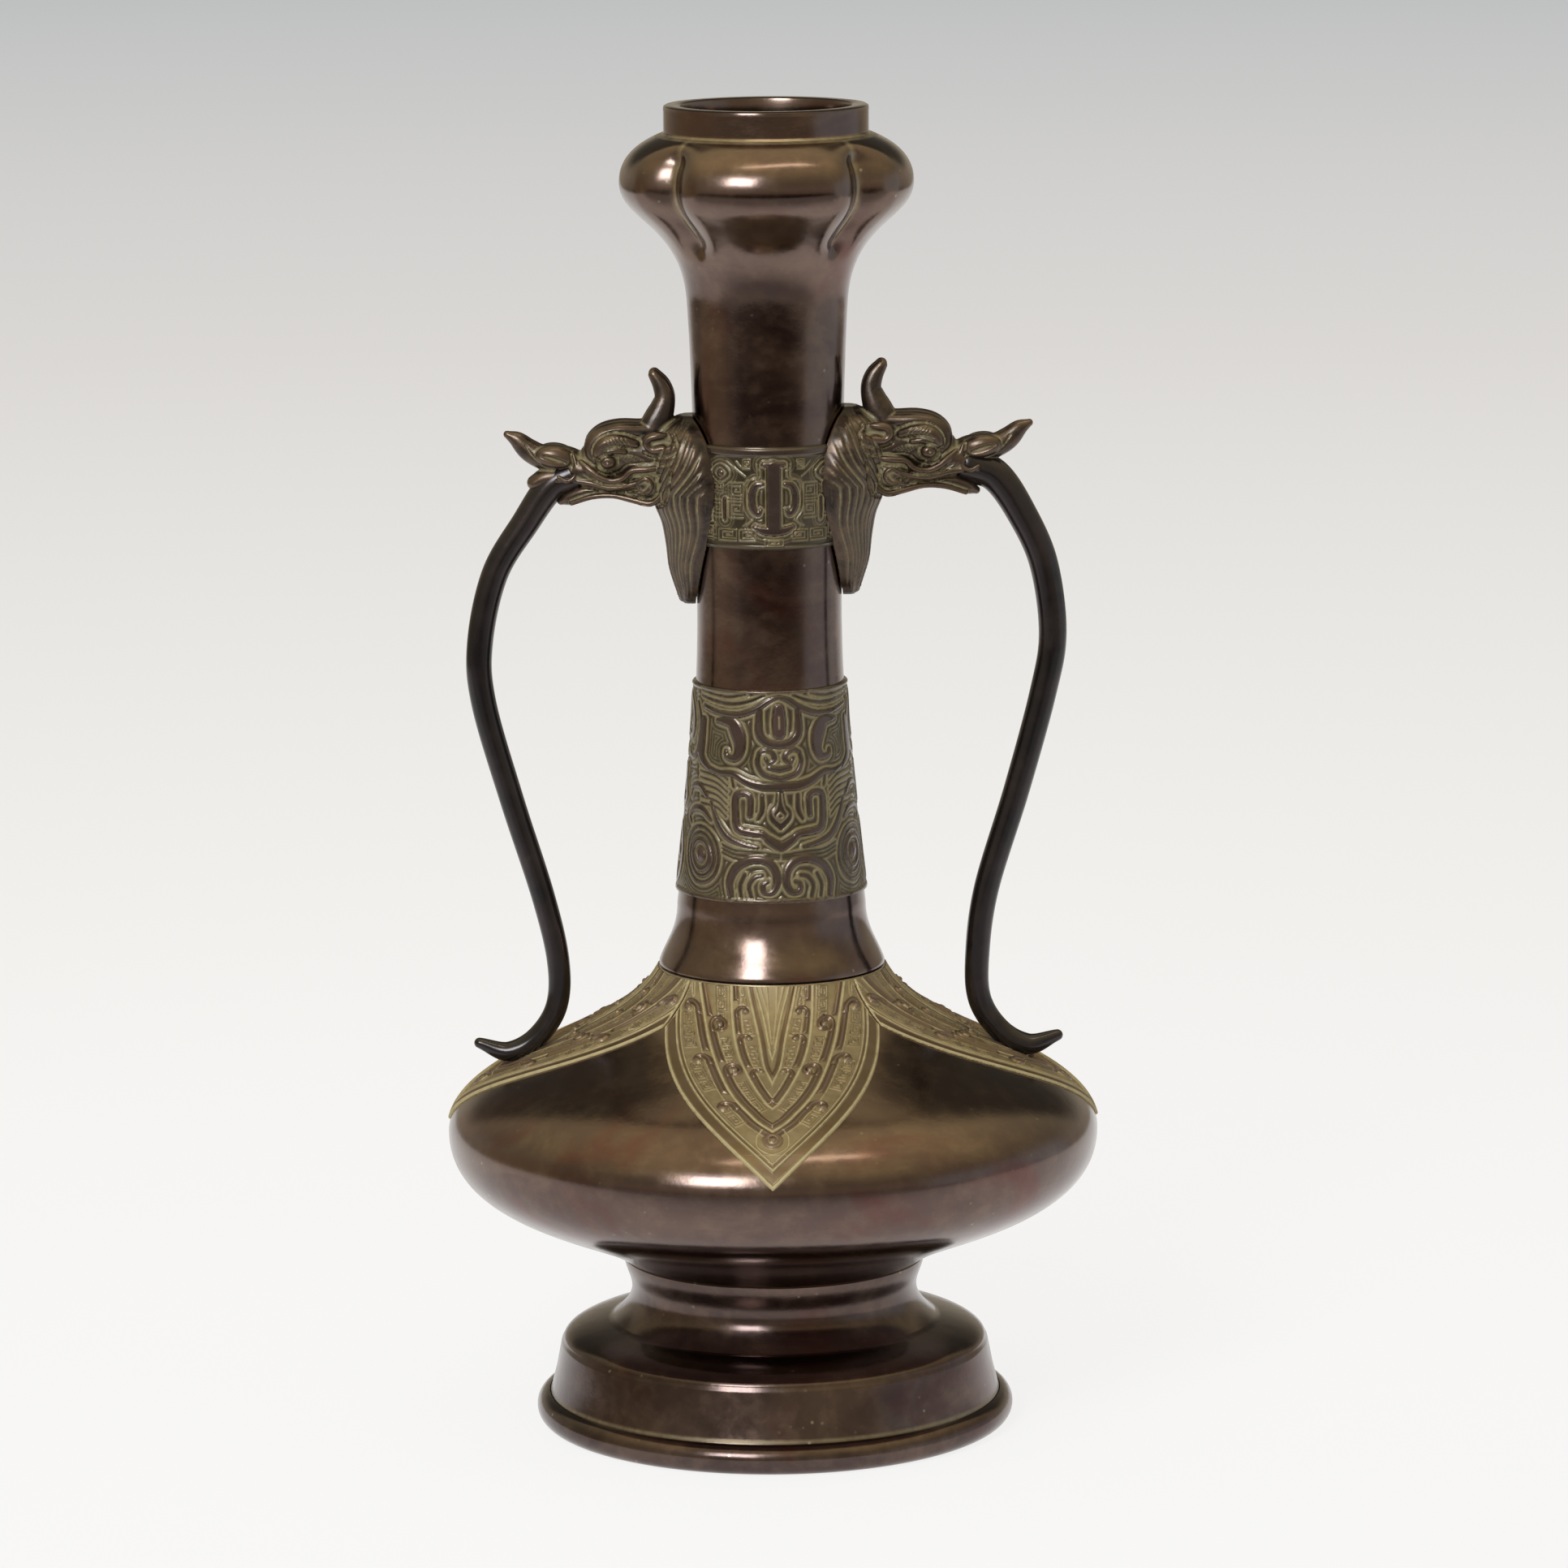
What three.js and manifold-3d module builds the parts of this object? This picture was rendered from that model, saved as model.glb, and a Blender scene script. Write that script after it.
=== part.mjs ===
// A bronze garlic-mouth vase: a lobed mouth on a slender banded neck, a low round body
// with raised leaves on its shoulder, a stepped foot, and two dragon-head handles.
// Millimetres, +Z up, front towards -Y, origin under the middle of the foot.
import * as THREE from "three";
import { mergeVertices } from "three/addons/utils/BufferGeometryUtils.js";
import Module from "manifold-3d";

const wasm = await Module();
wasm.setup();

// Heights of the parts of the vase, from the foot up
const FOOT_HEIGHT = 48.7;
const BODY_HEIGHT = 84.7;
const BELLY_DROP = 48.2;
const COLLAR_HEIGHT = 22.3;
const MASK_BAND_HEIGHT = 60;
const MIDDLE_NECK_HEIGHT = 40;
const FRET_BAND_HEIGHT = 29.2;
const UPPER_NECK_HEIGHT = 48.5;
const BULB_LOWER_HEIGHT = 24.5;
const BULB_UPPER_HEIGHT = 13.3;
const RIM_HEIGHT = 8.2;

// Radii of the neck and mouth
const COLLAR_RADIUS = 32.3;
const NECK_FOOT_RADIUS = 27;
const NECK_WAIST_RADIUS = 20.6;
const NECK_TOP_RADIUS = 23.6;
const BULB_RADIUS = 41.6;
const RIM_RADIUS = 29;
const MOUTH_RADIUS = 24;
const BULB_BORE_RADIUS = 31.5;
const RIM_ROUNDING = 0.8;

// The bulb is round between four valleys, each pressed in with soft shoulders
const LOBES = 4;
const VALLEY_DEPTH = 5.9;
const VALLEY_HALF_ANGLE = THREE.MathUtils.degToRad(14);
const LOBE_FADE = 8;

// Bands round the neck stand a little proud
const BAND_RISE = 0.7;
const BAND_LEDGE = 0.5;

// Body
const BELLY_RADIUS = 93.4;
const BODY_FOOT_RADIUS = 44;
const WALL = 3;
const LEAF_RISE = 0.6;
const LEAF_HALF_WIDTH = 29.4;
const LEAF_TIP_RADIUS = 93.2;
const LEAF_TIP_BELOW_SEAM = 47;
const LEAF_SPACING = 0.6;
const LEAVES = 4;

// Foot
const FOOT_TOP_RADIUS = 43.4;
const STEP_RADIUS = 61.5;
const STEP_HEIGHT = 23.7;
const SKIRT_RADIUS = 64.8;
const BEAD_RADIUS = 68.9;
const BEAD_HEIGHT = 8.7;
const FOOT_RING_INNER_RADIUS = 61;

// Joints between the castings
const GAP = 0.3;
const SPIGOT_RADIUS = 26.2;
const SPIGOT_HEIGHT = 6.6;
const FOOT_SPIGOT_RADIUS = 37.4;
const FOOT_SPIGOT_DEPTH = 8;
const BASE_PLATE_THICKNESS = 3;
const BASE_LEDGE_WIDTH = 4.4;

// Handles, measured from the vase's axis
const HEAD_LEVEL = 283;
const MOUTH_OUT = 64.5;
const MOUTH_BELOW_HEAD = 10;
const STRAP_HALF_WIDTH = 3.75;
const STRAP_HALF_DEPTH = 3.6;
const STRAP_OUT = 81.6;
const STRAP_IN = 60.2;
const TAIL_SEAT_RADIUS = 74.5;
const TAIL_TIP_OUT = 10.2;
const TENON_LENGTH = 8;
const HANDLE_DROP = 1.2;
const HANDLE_SPREAD = 1.2;
const HORN_HEIGHT = 24.5;
const HEAD_HALF_WIDTH = 9;

// Rivets and pins
const RIVET_RADIUS = 2.2;
const RIVET_HEAD_RADIUS = 3.5;
const RIVET_HEAD_THICKNESS = 1.6;
const RIVET_GRIP = 7;
const RIVET_ABOVE = 6;
const RIVET_BELOW = 14;
const TAIL_PIN_GRIP = 2.6;

// Fineness of the round surfaces
const NECK_SEGMENTS = 40;
const BODY_SEGMENTS = 44;
const PIN_SEGMENTS = 8;

// Levels worked out from the heights
const BODY_SEAT = FOOT_HEIGHT + GAP;
const SEAM = BODY_SEAT + BODY_HEIGHT + GAP;
const BELLY_LEVEL = SEAM - BELLY_DROP;
const MASK_BAND = [SEAM + COLLAR_HEIGHT, SEAM + COLLAR_HEIGHT + MASK_BAND_HEIGHT];
const NECK_WAIST = MASK_BAND[1] + 0.5 * MIDDLE_NECK_HEIGHT;
const FRET_BAND = [
  MASK_BAND[1] + MIDDLE_NECK_HEIGHT,
  MASK_BAND[1] + MIDDLE_NECK_HEIGHT + FRET_BAND_HEIGHT,
];
const BULB_START = FRET_BAND[1] + UPPER_NECK_HEIGHT;
const BULB_LEVEL = BULB_START + BULB_LOWER_HEIGHT;
const BULB_TOP = BULB_LEVEL + BULB_UPPER_HEIGHT;
const TOP = BULB_TOP + RIM_HEIGHT;

// Bronze colours
const BROWN = 0x4a3a2c;
const DARK = 0x2a2421;
const OLIVE = 0x5c5136;

const point = (r, z) => new THREE.Vector2(r, z);

// Points along a smooth curve between two ends with two pulls, without its last point.
function curve(start, pullStart, pullEnd, end, steps) {
  const bend = new THREE.CubicBezierCurve(
    point(...start),
    point(...pullStart),
    point(...pullEnd),
    point(...end),
  );
  return bend.getPoints(steps).slice(0, -1);
}

// Closed solids
function toManifold(geometry) {
  const bare = geometry.clone();
  bare.deleteAttribute("normal");
  bare.deleteAttribute("uv");
  const merged = mergeVertices(bare, 1e-4);
  return new wasm.Manifold(
    new wasm.Mesh({
      numProp: 3,
      vertProperties: merged.attributes.position.array,
      triVerts: new Uint32Array(merged.index.array),
    }),
  );
}

function toGeometry(solid) {
  const mesh = solid.getMesh();
  const geometry = new THREE.BufferGeometry();
  geometry.setAttribute("position", new THREE.BufferAttribute(mesh.vertProperties, 3));
  geometry.setIndex(new THREE.BufferAttribute(mesh.triVerts, 1));
  const shown = geometry.toNonIndexed();
  shown.computeVertexNormals();
  return shown;
}

// A profile of radius and height turned about the vase's axis.
function revolve(profile, segments) {
  return new THREE.LatheGeometry(profile, segments).rotateX(Math.PI / 2);
}

// A closed body through oval sections, each with a centre and two half-axes.
function loft(sections, sides) {
  const points = [];
  for (const { centre, across, up } of sections) {
    for (let i = 0; i < sides; i++) {
      const angle = (2 * Math.PI * i) / sides;
      const rim = centre.clone();
      rim.addScaledVector(across, Math.cos(angle));
      rim.addScaledVector(up, Math.sin(angle));
      points.push(rim);
    }
  }
  const rings = sections.length;
  const firstPole = points.push(sections[0].centre) - 1;
  const lastPole = points.push(sections[rings - 1].centre) - 1;
  const faces = [];
  for (let i = 0; i < sides; i++) {
    const next = (i + 1) % sides;
    faces.push(firstPole, next, i);
    faces.push(lastPole, (rings - 1) * sides + i, (rings - 1) * sides + next);
    for (let ring = 0; ring < rings - 1; ring++) {
      const low = ring * sides;
      const high = low + sides;
      faces.push(low + i, low + next, high + next);
      faces.push(low + i, high + next, high + i);
    }
  }
  const geometry = new THREE.BufferGeometry().setFromPoints(points);
  geometry.setIndex(faces);
  return toManifold(geometry);
}

// A section square to the X axis, between two heights.
function sectionAlongX(x, low, high, halfWidth, y = 0) {
  return {
    centre: new THREE.Vector3(x, y, (low + high) / 2),
    across: new THREE.Vector3(0, halfWidth, 0),
    up: new THREE.Vector3(0, 0, (high - low) / 2),
  };
}

// A tapered bar along points in space, with its half-width across Y and in the plane.
function bar(path, halfDepth, halfWidth, steps, sides) {
  const line = new THREE.CatmullRomCurve3(path, false, "centripetal");
  const sections = [];
  for (let i = 0; i <= steps; i++) {
    const t = i / steps;
    const along = line.getTangentAt(t);
    const side = new THREE.Vector3(0, 1, 0);
    side.addScaledVector(along, -along.y).normalize();
    sections.push({
      centre: line.getPointAt(t),
      across: side.clone().multiplyScalar(halfDepth(t)),
      up: along.clone().cross(side).multiplyScalar(halfWidth(t)),
    });
  }
  return loft(sections, sides);
}

const joined = (solids) => solids.reduce((all, one) => all.add(one));

// The neck's outside without its bands, from the seam to the bulb's widest level
function collarCurve() {
  const end = SEAM + 0.8 * COLLAR_HEIGHT;
  return curve(
    [COLLAR_RADIUS, SEAM + 1],
    [COLLAR_RADIUS - 1.9, SEAM + 6.3],
    [NECK_FOOT_RADIUS, SEAM + 10.3],
    [NECK_FOOT_RADIUS, end],
    5,
  );
}

function lowerNeckCurve() {
  return new THREE.CubicBezierCurve(
    point(NECK_FOOT_RADIUS, SEAM + 0.8 * COLLAR_HEIGHT),
    point(NECK_FOOT_RADIUS - 2.2, MASK_BAND[0] + 0.26 * MASK_BAND_HEIGHT),
    point(NECK_WAIST_RADIUS, MASK_BAND[0] + 0.81 * MASK_BAND_HEIGHT),
    point(NECK_WAIST_RADIUS, NECK_WAIST),
  );
}

function upperNeckCurve() {
  return new THREE.CubicBezierCurve(
    point(NECK_WAIST_RADIUS, NECK_WAIST),
    point(NECK_WAIST_RADIUS, FRET_BAND[0] + 0.2 * FRET_BAND_HEIGHT),
    point(NECK_TOP_RADIUS - 1.8, BULB_START - 0.33 * UPPER_NECK_HEIGHT),
    point(NECK_TOP_RADIUS, BULB_START),
  );
}

// The radius of a rising curve at one height.
function radiusAt(bend, height) {
  let low = 0;
  let high = 1;
  const start = bend.getPoint(0).y;
  const sign = Math.sign(bend.getPoint(1).y - start);
  for (let i = 0; i < 40; i++) {
    const middle = (low + high) / 2;
    if (sign * (bend.getPoint(middle).y - height) < 0) low = middle;
    else high = middle;
  }
  return bend.getPoint(low).x;
}

function neckRadius(height) {
  const bend = height < NECK_WAIST ? lowerNeckCurve() : upperNeckCurve();
  return radiusAt(bend, height);
}

// A band with a small ledge at each edge.
function bandPoints([low, high], steps) {
  const points = [point(neckRadius(low), low)];
  for (let i = 0; i <= steps; i++) {
    const height = low + BAND_LEDGE + ((high - low - 2 * BAND_LEDGE) * i) / steps;
    points.push(point(neckRadius(height) + BAND_RISE, height));
  }
  points.push(point(neckRadius(high), high));
  return points;
}

function plainPoints(low, high, steps) {
  const points = [];
  for (let i = 1; i < steps; i++) {
    const height = low + ((high - low) * i) / steps;
    points.push(point(neckRadius(height), height));
  }
  return points;
}

function bulbPoints() {
  return [
    ...curve(
      [NECK_TOP_RADIUS, BULB_START],
      [NECK_TOP_RADIUS, BULB_START + 0.47 * BULB_LOWER_HEIGHT],
      [BULB_RADIUS, BULB_LEVEL - 0.38 * BULB_LOWER_HEIGHT],
      [BULB_RADIUS, BULB_LEVEL],
      6,
    ),
    ...curve(
      [BULB_RADIUS, BULB_LEVEL],
      [BULB_RADIUS, BULB_LEVEL + 0.53 * BULB_UPPER_HEIGHT],
      [RIM_RADIUS + 7.1, BULB_TOP - 0.18 * BULB_UPPER_HEIGHT],
      [RIM_RADIUS + 1.3, BULB_TOP],
      4,
    ),
    point(RIM_RADIUS + 1.3, BULB_TOP),
  ];
}

function neckOutside() {
  return [
    point(COLLAR_RADIUS, SEAM),
    ...collarCurve(),
    point(NECK_FOOT_RADIUS, SEAM + 0.8 * COLLAR_HEIGHT),
    ...bandPoints(MASK_BAND, 3),
    ...plainPoints(MASK_BAND[1], FRET_BAND[0], 2),
    ...bandPoints(FRET_BAND, 1),
    ...plainPoints(FRET_BAND[1], BULB_START, 2),
    ...bulbPoints(),
    point(RIM_RADIUS, BULB_TOP + 0.6),
    point(RIM_RADIUS, TOP - RIM_ROUNDING),
    point(RIM_RADIUS - RIM_ROUNDING, TOP),
  ];
}

// The neck's bore, from the mouth down to the socket over the body's spigot
function neckInside() {
  const socketTop = SEAM + SPIGOT_HEIGHT + GAP;
  return [
    point(MOUTH_RADIUS + RIM_ROUNDING, TOP),
    point(MOUTH_RADIUS, TOP - RIM_ROUNDING),
    ...curve(
      [MOUTH_RADIUS, BULB_TOP - 1.3],
      [MOUTH_RADIUS + 2, BULB_TOP - 5.8],
      [BULB_BORE_RADIUS, BULB_LEVEL + 6],
      [BULB_BORE_RADIUS, BULB_LEVEL],
      2,
    ),
    ...curve(
      [BULB_BORE_RADIUS, BULB_LEVEL],
      [BULB_BORE_RADIUS, BULB_LEVEL - 8],
      [NECK_TOP_RADIUS - WALL, BULB_START + 12],
      [NECK_TOP_RADIUS - WALL, BULB_START],
      3,
    ),
    point(NECK_TOP_RADIUS - WALL, BULB_START),
    point(NECK_WAIST_RADIUS - WALL, NECK_WAIST),
    point(neckRadius(MASK_BAND[0] + 20) - WALL, MASK_BAND[0] + 20),
    point(NECK_FOOT_RADIUS - WALL, socketTop + 6),
    point(NECK_FOOT_RADIUS - WALL, socketTop),
    point(SPIGOT_RADIUS + GAP, socketTop),
    point(SPIGOT_RADIUS + GAP, SEAM),
    point(COLLAR_RADIUS, SEAM),
  ];
}

// How much a lobed section departs from round, from 0 to 1, by height.
function lobing(height) {
  const rise = (height - (BULB_START + 2)) / LOBE_FADE;
  const fall = (BULB_TOP - height) / (0.5 * BULB_UPPER_HEIGHT);
  return THREE.MathUtils.smoothstep(Math.min(rise, fall), 0, 1);
}

// The lobed radius over the crest radius, at an angle from the front.
function lobeShare(angle, height) {
  const turn = (2 * Math.PI) / LOBES;
  const fromCrest = Math.abs(angle - turn * Math.round(angle / turn));
  const fromValley = Math.min((0.5 * turn - fromCrest) / VALLEY_HALF_ANGLE, 1);
  return 1 - (VALLEY_DEPTH / BULB_RADIUS) * lobing(height) * (1 - fromValley) ** 2;
}

function neckGeometry() {
  const outside = neckOutside();
  const profile = [...outside, ...neckInside()];
  const geometry = revolve(profile, NECK_SEGMENTS);
  const places = geometry.attributes.position;
  for (let i = 0; i < places.count; i++) {
    const height = places.getZ(i);
    if (i % profile.length >= outside.length || height < BULB_START) continue;
    const angle = Math.atan2(places.getX(i), -places.getY(i));
    const share = lobeShare(angle, height);
    places.setX(i, places.getX(i) * share);
    places.setY(i, places.getY(i) * share);
  }
  return geometry;
}

// Body outline, from the foot joint up to the seam under the neck
function underCurve() {
  return new THREE.CubicBezierCurve(
    point(BODY_FOOT_RADIUS, BODY_SEAT),
    point(BODY_FOOT_RADIUS + 17.3, BODY_SEAT + 12.3),
    point(BELLY_RADIUS, BELLY_LEVEL - 22.7),
    point(BELLY_RADIUS, BELLY_LEVEL),
  );
}

function shoulderCurve() {
  return new THREE.CubicBezierCurve(
    point(BELLY_RADIUS, BELLY_LEVEL),
    point(BELLY_RADIUS, BELLY_LEVEL + 0.43 * BELLY_DROP),
    point(COLLAR_RADIUS + 11, SEAM - 0.49 * BELLY_DROP),
    point(COLLAR_RADIUS, SEAM - GAP),
  );
}

function bodyOutside(fineness = 1) {
  const under = underCurve().getPoints(6 * fineness);
  const shoulder = shoulderCurve().getPoints(10 * fineness);
  return [...under, ...shoulder.slice(1)];
}

// A line of points moved sideways, to its left for a positive distance.
function moved(points, distance) {
  return points.map((at, i) => {
    const before = points[Math.max(i - 1, 0)];
    const after = points[Math.min(i + 1, points.length - 1)];
    const along = after.clone().sub(before).normalize();
    return point(at.x - along.y * distance, at.y + along.x * distance);
  });
}

function bodyShell() {
  const inside = moved(bodyOutside(0.5), WALL).reverse();
  const kept = inside.filter((at) => at.x > SPIGOT_RADIUS + 3);
  const bore = SPIGOT_RADIUS - WALL;
  const footBore = FOOT_SPIGOT_RADIUS - WALL;
  const profile = [
    point(footBore, BODY_SEAT - FOOT_SPIGOT_DEPTH),
    point(FOOT_SPIGOT_RADIUS, BODY_SEAT - FOOT_SPIGOT_DEPTH),
    point(FOOT_SPIGOT_RADIUS, BODY_SEAT),
    ...bodyOutside(),
    point(SPIGOT_RADIUS, SEAM - GAP),
    point(SPIGOT_RADIUS, SEAM + SPIGOT_HEIGHT),
    point(bore, SEAM + SPIGOT_HEIGHT),
    point(bore, SEAM - 5),
    ...kept.filter((at) => at.x > footBore),
    point(footBore, BODY_SEAT + WALL),
    point(footBore, BODY_SEAT - FOOT_SPIGOT_DEPTH),
  ];
  return toManifold(revolve(profile, BODY_SEGMENTS));
}

// The body's outside, filled to the axis and grown by a distance.
function bodyBlock(growth) {
  const outline = moved(bodyOutside(), -growth);
  const profile = [
    point(0, BODY_SEAT),
    ...outline,
    point(0, outline[outline.length - 1].y),
    point(0, BODY_SEAT),
  ];
  return toManifold(revolve(profile, BODY_SEGMENTS));
}

// One pointed leaf, seen from above, with its tip at the belly.
function leafPrism(turn) {
  const neckEnd = COLLAR_RADIUS * Math.SQRT1_2 - LEAF_SPACING;
  const leaf = new THREE.Shape();
  leaf.moveTo(-neckEnd, neckEnd);
  leaf.lineTo(-LEAF_HALF_WIDTH, LEAF_HALF_WIDTH + 2 * LEAF_SPACING);
  leaf.quadraticCurveTo(-LEAF_HALF_WIDTH, 68, 0, LEAF_TIP_RADIUS + 1);
  leaf.quadraticCurveTo(LEAF_HALF_WIDTH, 68, LEAF_HALF_WIDTH, LEAF_HALF_WIDTH + 2 * LEAF_SPACING);
  leaf.lineTo(neckEnd, neckEnd);
  const options = { depth: LEAF_TIP_BELOW_SEAM, bevelEnabled: false, curveSegments: 6 };
  const prism = new THREE.ExtrudeGeometry(leaf, options);
  prism.translate(0, 0, SEAM - GAP - LEAF_TIP_BELOW_SEAM);
  return toManifold(prism.rotateZ(turn));
}

function bodyGeometry(cuts) {
  const skin = bodyBlock(LEAF_RISE).subtract(bodyBlock(-1));
  let solid = bodyShell();
  for (let i = 0; i < LEAVES; i++) {
    solid = solid.add(skin.intersect(leafPrism((2 * Math.PI * i) / LEAVES)));
  }
  for (const cut of cuts) solid = solid.subtract(cut);
  return toGeometry(largest(solid));
}

// The main piece of a cut solid, without loose slivers.
function largest(solid) {
  const bodies = solid.decompose();
  return bodies.reduce((best, one) => (one.volume() > best.volume() ? one : best));
}

// Foot: a ring with a waist, a rounded step, a skirt and a bead
function footProfile() {
  const socket = FOOT_SPIGOT_RADIUS + GAP;
  const plateTop = BODY_SEAT - FOOT_SPIGOT_DEPTH - GAP;
  const ledge = plateTop - BASE_PLATE_THICKNESS - GAP;
  const beadMiddle = BEAD_HEIGHT / 2;
  return [
    point(FOOT_RING_INNER_RADIUS, 0),
    point(BEAD_RADIUS - 2, 0),
    point(BEAD_RADIUS - 0.2, 0.25 * BEAD_HEIGHT),
    point(BEAD_RADIUS, beadMiddle),
    point(BEAD_RADIUS - 1.2, 0.85 * BEAD_HEIGHT),
    point(SKIRT_RADIUS, BEAD_HEIGHT),
    point(0.35 * SKIRT_RADIUS + 0.65 * STEP_RADIUS, 0.5 * (BEAD_HEIGHT + STEP_HEIGHT)),
    ...curve(
      [STEP_RADIUS, STEP_HEIGHT],
      [STEP_RADIUS, STEP_HEIGHT + 2.8],
      [STEP_RADIUS - 7.5, STEP_HEIGHT + 4.5],
      [STEP_RADIUS - 14, STEP_HEIGHT + 5.8],
      4,
    ),
    ...curve(
      [STEP_RADIUS - 14, STEP_HEIGHT + 5.8],
      [FOOT_TOP_RADIUS - 6.8, FOOT_HEIGHT - 10.4],
      [FOOT_TOP_RADIUS - 0.6, FOOT_HEIGHT - 6.2],
      [FOOT_TOP_RADIUS, FOOT_HEIGHT],
      5,
    ),
    point(FOOT_TOP_RADIUS, FOOT_HEIGHT),
    point(socket, FOOT_HEIGHT),
    point(socket, ledge),
    point(socket - BASE_LEDGE_WIDTH, ledge),
    point(STEP_RADIUS - 16, STEP_HEIGHT + 3.3),
    point(STEP_RADIUS - WALL, STEP_HEIGHT - 2.5),
    point(FOOT_RING_INNER_RADIUS, BEAD_HEIGHT),
    point(FOOT_RING_INNER_RADIUS, 0),
  ];
}

function basePlateGeometry() {
  const top = BODY_SEAT - FOOT_SPIGOT_DEPTH - GAP;
  const radius = FOOT_SPIGOT_RADIUS;
  const profile = [
    point(0, top - BASE_PLATE_THICKNESS),
    point(radius, top - BASE_PLATE_THICKNESS),
    point(radius, top),
    point(0, top),
  ];
  return revolve(profile, BODY_SEGMENTS);
}

// Where the handles stand: the left one hangs lower and wider than the right one
function place(side) {
  const drop = side === "left" ? HANDLE_DROP : -HANDLE_DROP;
  const spread = side === "left" ? HANDLE_SPREAD : -HANDLE_SPREAD;
  return { level: HEAD_LEVEL - drop, spread, turn: side === "left" ? Math.PI : 0 };
}

// Skull, brow and snout as one form, from the neck outwards
function skull(level) {
  const w = HEAD_HALF_WIDTH;
  return loft(
    [
      sectionAlongX(17, level - 16, level + 11, 1.15 * w),
      sectionAlongX(28, level - 13, level + 11, 1.15 * w),
      sectionAlongX(36, level - 8, level + 10, 1.02 * w),
      sectionAlongX(43.5, level - 7.5, level + 10.3, w),
      sectionAlongX(48.5, level - 7, level + 8.3, 0.88 * w),
      sectionAlongX(52, level - 6.5, level + 3, 0.62 * w),
      sectionAlongX(56.5, level - 6.2, level + 3.4, 0.66 * w),
      sectionAlongX(61, level - 5.5, level + 4, 0.66 * w),
      sectionAlongX(65.5, level - 3.5, level + 3.6, 0.52 * w),
      sectionAlongX(69, level - 0.5, level + 5, 0.36 * w),
      sectionAlongX(72.5, level + 3.2, level + 7.3, 0.24 * w),
      sectionAlongX(75, level + 5.6, level + 7.4, 0.12 * w),
    ],
    10,
  );
}

function lowerJaw(level) {
  const w = HEAD_HALF_WIDTH;
  return loft(
    [
      sectionAlongX(27, level - 17, level - 6, 0.9 * w),
      sectionAlongX(35, level - 12.5, level - 5, 0.88 * w),
      sectionAlongX(43, level - 11.3, level - 5, 0.72 * w),
      sectionAlongX(51, level - 12.4, level - 6.5, 0.6 * w),
      sectionAlongX(56.5, level - 14.3, level - 9, 0.46 * w),
      sectionAlongX(59.5, level - 14.6, level - 12, 0.25 * w),
    ],
    8,
  );
}

// The mane lies against the neck and runs down to a point.
function mane(level) {
  const rows = [
    [-43.5, 20, 2.5],
    [-40, 23.5, 5],
    [-31, 27.4, 10.5],
    [-23, 28.4, 13.6],
    [-16, 30.5, 15.3],
    [-8, 33, 15.6],
    [2, 32.5, 15.4],
    [8, 29, 14],
    [12, 24.5, 11.5],
  ];
  const back = NECK_WAIST_RADIUS - 8;
  const sections = rows.map(([rise, out, halfWidth]) => ({
    centre: new THREE.Vector3(back, 0, level + rise),
    across: new THREE.Vector3(out - back, 0, 0),
    up: new THREE.Vector3(0, halfWidth, 0),
  }));
  return loft(sections, 12);
}

function horn(level, side) {
  const root = level + 8;
  const path = [
    new THREE.Vector3(31, 3.2 * side, root - 3),
    new THREE.Vector3(29.2, 3.8 * side, root + 5),
    new THREE.Vector3(29.4, 4.4 * side, root + 0.55 * HORN_HEIGHT),
    new THREE.Vector3(33.2, 5 * side, level + HORN_HEIGHT),
  ];
  const girth = (t) => 4.3 - 3 * t * (0.35 + 0.65 * t);
  return bar(path, (t) => 0.75 * girth(t), girth, 6, 6);
}

function ear(level, side) {
  const y = HEAD_HALF_WIDTH * side;
  const path = [
    new THREE.Vector3(36.5, y * 0.92, level + 1.2),
    new THREE.Vector3(31.5, y * 1.08, level + 3),
    new THREE.Vector3(27.2, y * 1.12, level + 6.4),
  ];
  return bar(path, () => 1.6, (t) => 3.3 * Math.sin(Math.PI * (0.18 + 0.76 * t)), 4, 6);
}

function eye(level, side) {
  const ball = new THREE.SphereGeometry(2.6, 8, 6);
  return toManifold(ball.translate(45.4, 0.82 * HEAD_HALF_WIDTH * side, level - 0.4));
}

// Flared wing of the nose and the curl of the cheek
function nostril(level, side) {
  const wing = new THREE.SphereGeometry(4, 8, 6);
  wing.scale(1.2, 0.55, 0.85);
  return toManifold(wing.translate(60.5, 0.56 * HEAD_HALF_WIDTH * side, level + 0.4));
}

function cheek(level, side) {
  const curl = new THREE.SphereGeometry(5.2, 8, 6);
  curl.scale(1.1, 0.42, 0.8);
  return toManifold(curl.translate(34.5, 0.88 * HEAD_HALF_WIDTH * side, level - 6.5));
}

// The neck's outside as a solid, grown by the gap that the heads keep to it.
function neckClearance() {
  const low = NECK_WAIST - 20;
  const high = BULB_START;
  const profile = [point(0, low)];
  const steps = 12;
  for (let i = 0; i <= steps; i++) {
    const height = low + ((high - low) * i) / steps;
    profile.push(point(neckRadius(height) + BAND_RISE + GAP, height));
  }
  profile.push(point(0, high), point(0, low));
  return toManifold(revolve(profile, NECK_SEGMENTS));
}

// A turned peg along +X with a flat round head at its start
function peg(start, length, radius, headRadius, headThickness) {
  const profile = [point(0, 0)];
  if (headThickness > 0) {
    profile.push(point(headRadius, 0), point(headRadius, headThickness));
    profile.push(point(radius, headThickness));
  } else profile.push(point(radius, 0));
  profile.push(point(radius, length), point(0, length));
  const geometry = new THREE.LatheGeometry(profile, PIN_SEGMENTS);
  return geometry.rotateZ(-Math.PI / 2).translate(start, 0, 0);
}

const rivetLevels = (level) => ({
  upper: level + RIVET_ABOVE,
  lower: level - RIVET_BELOW,
});

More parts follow.
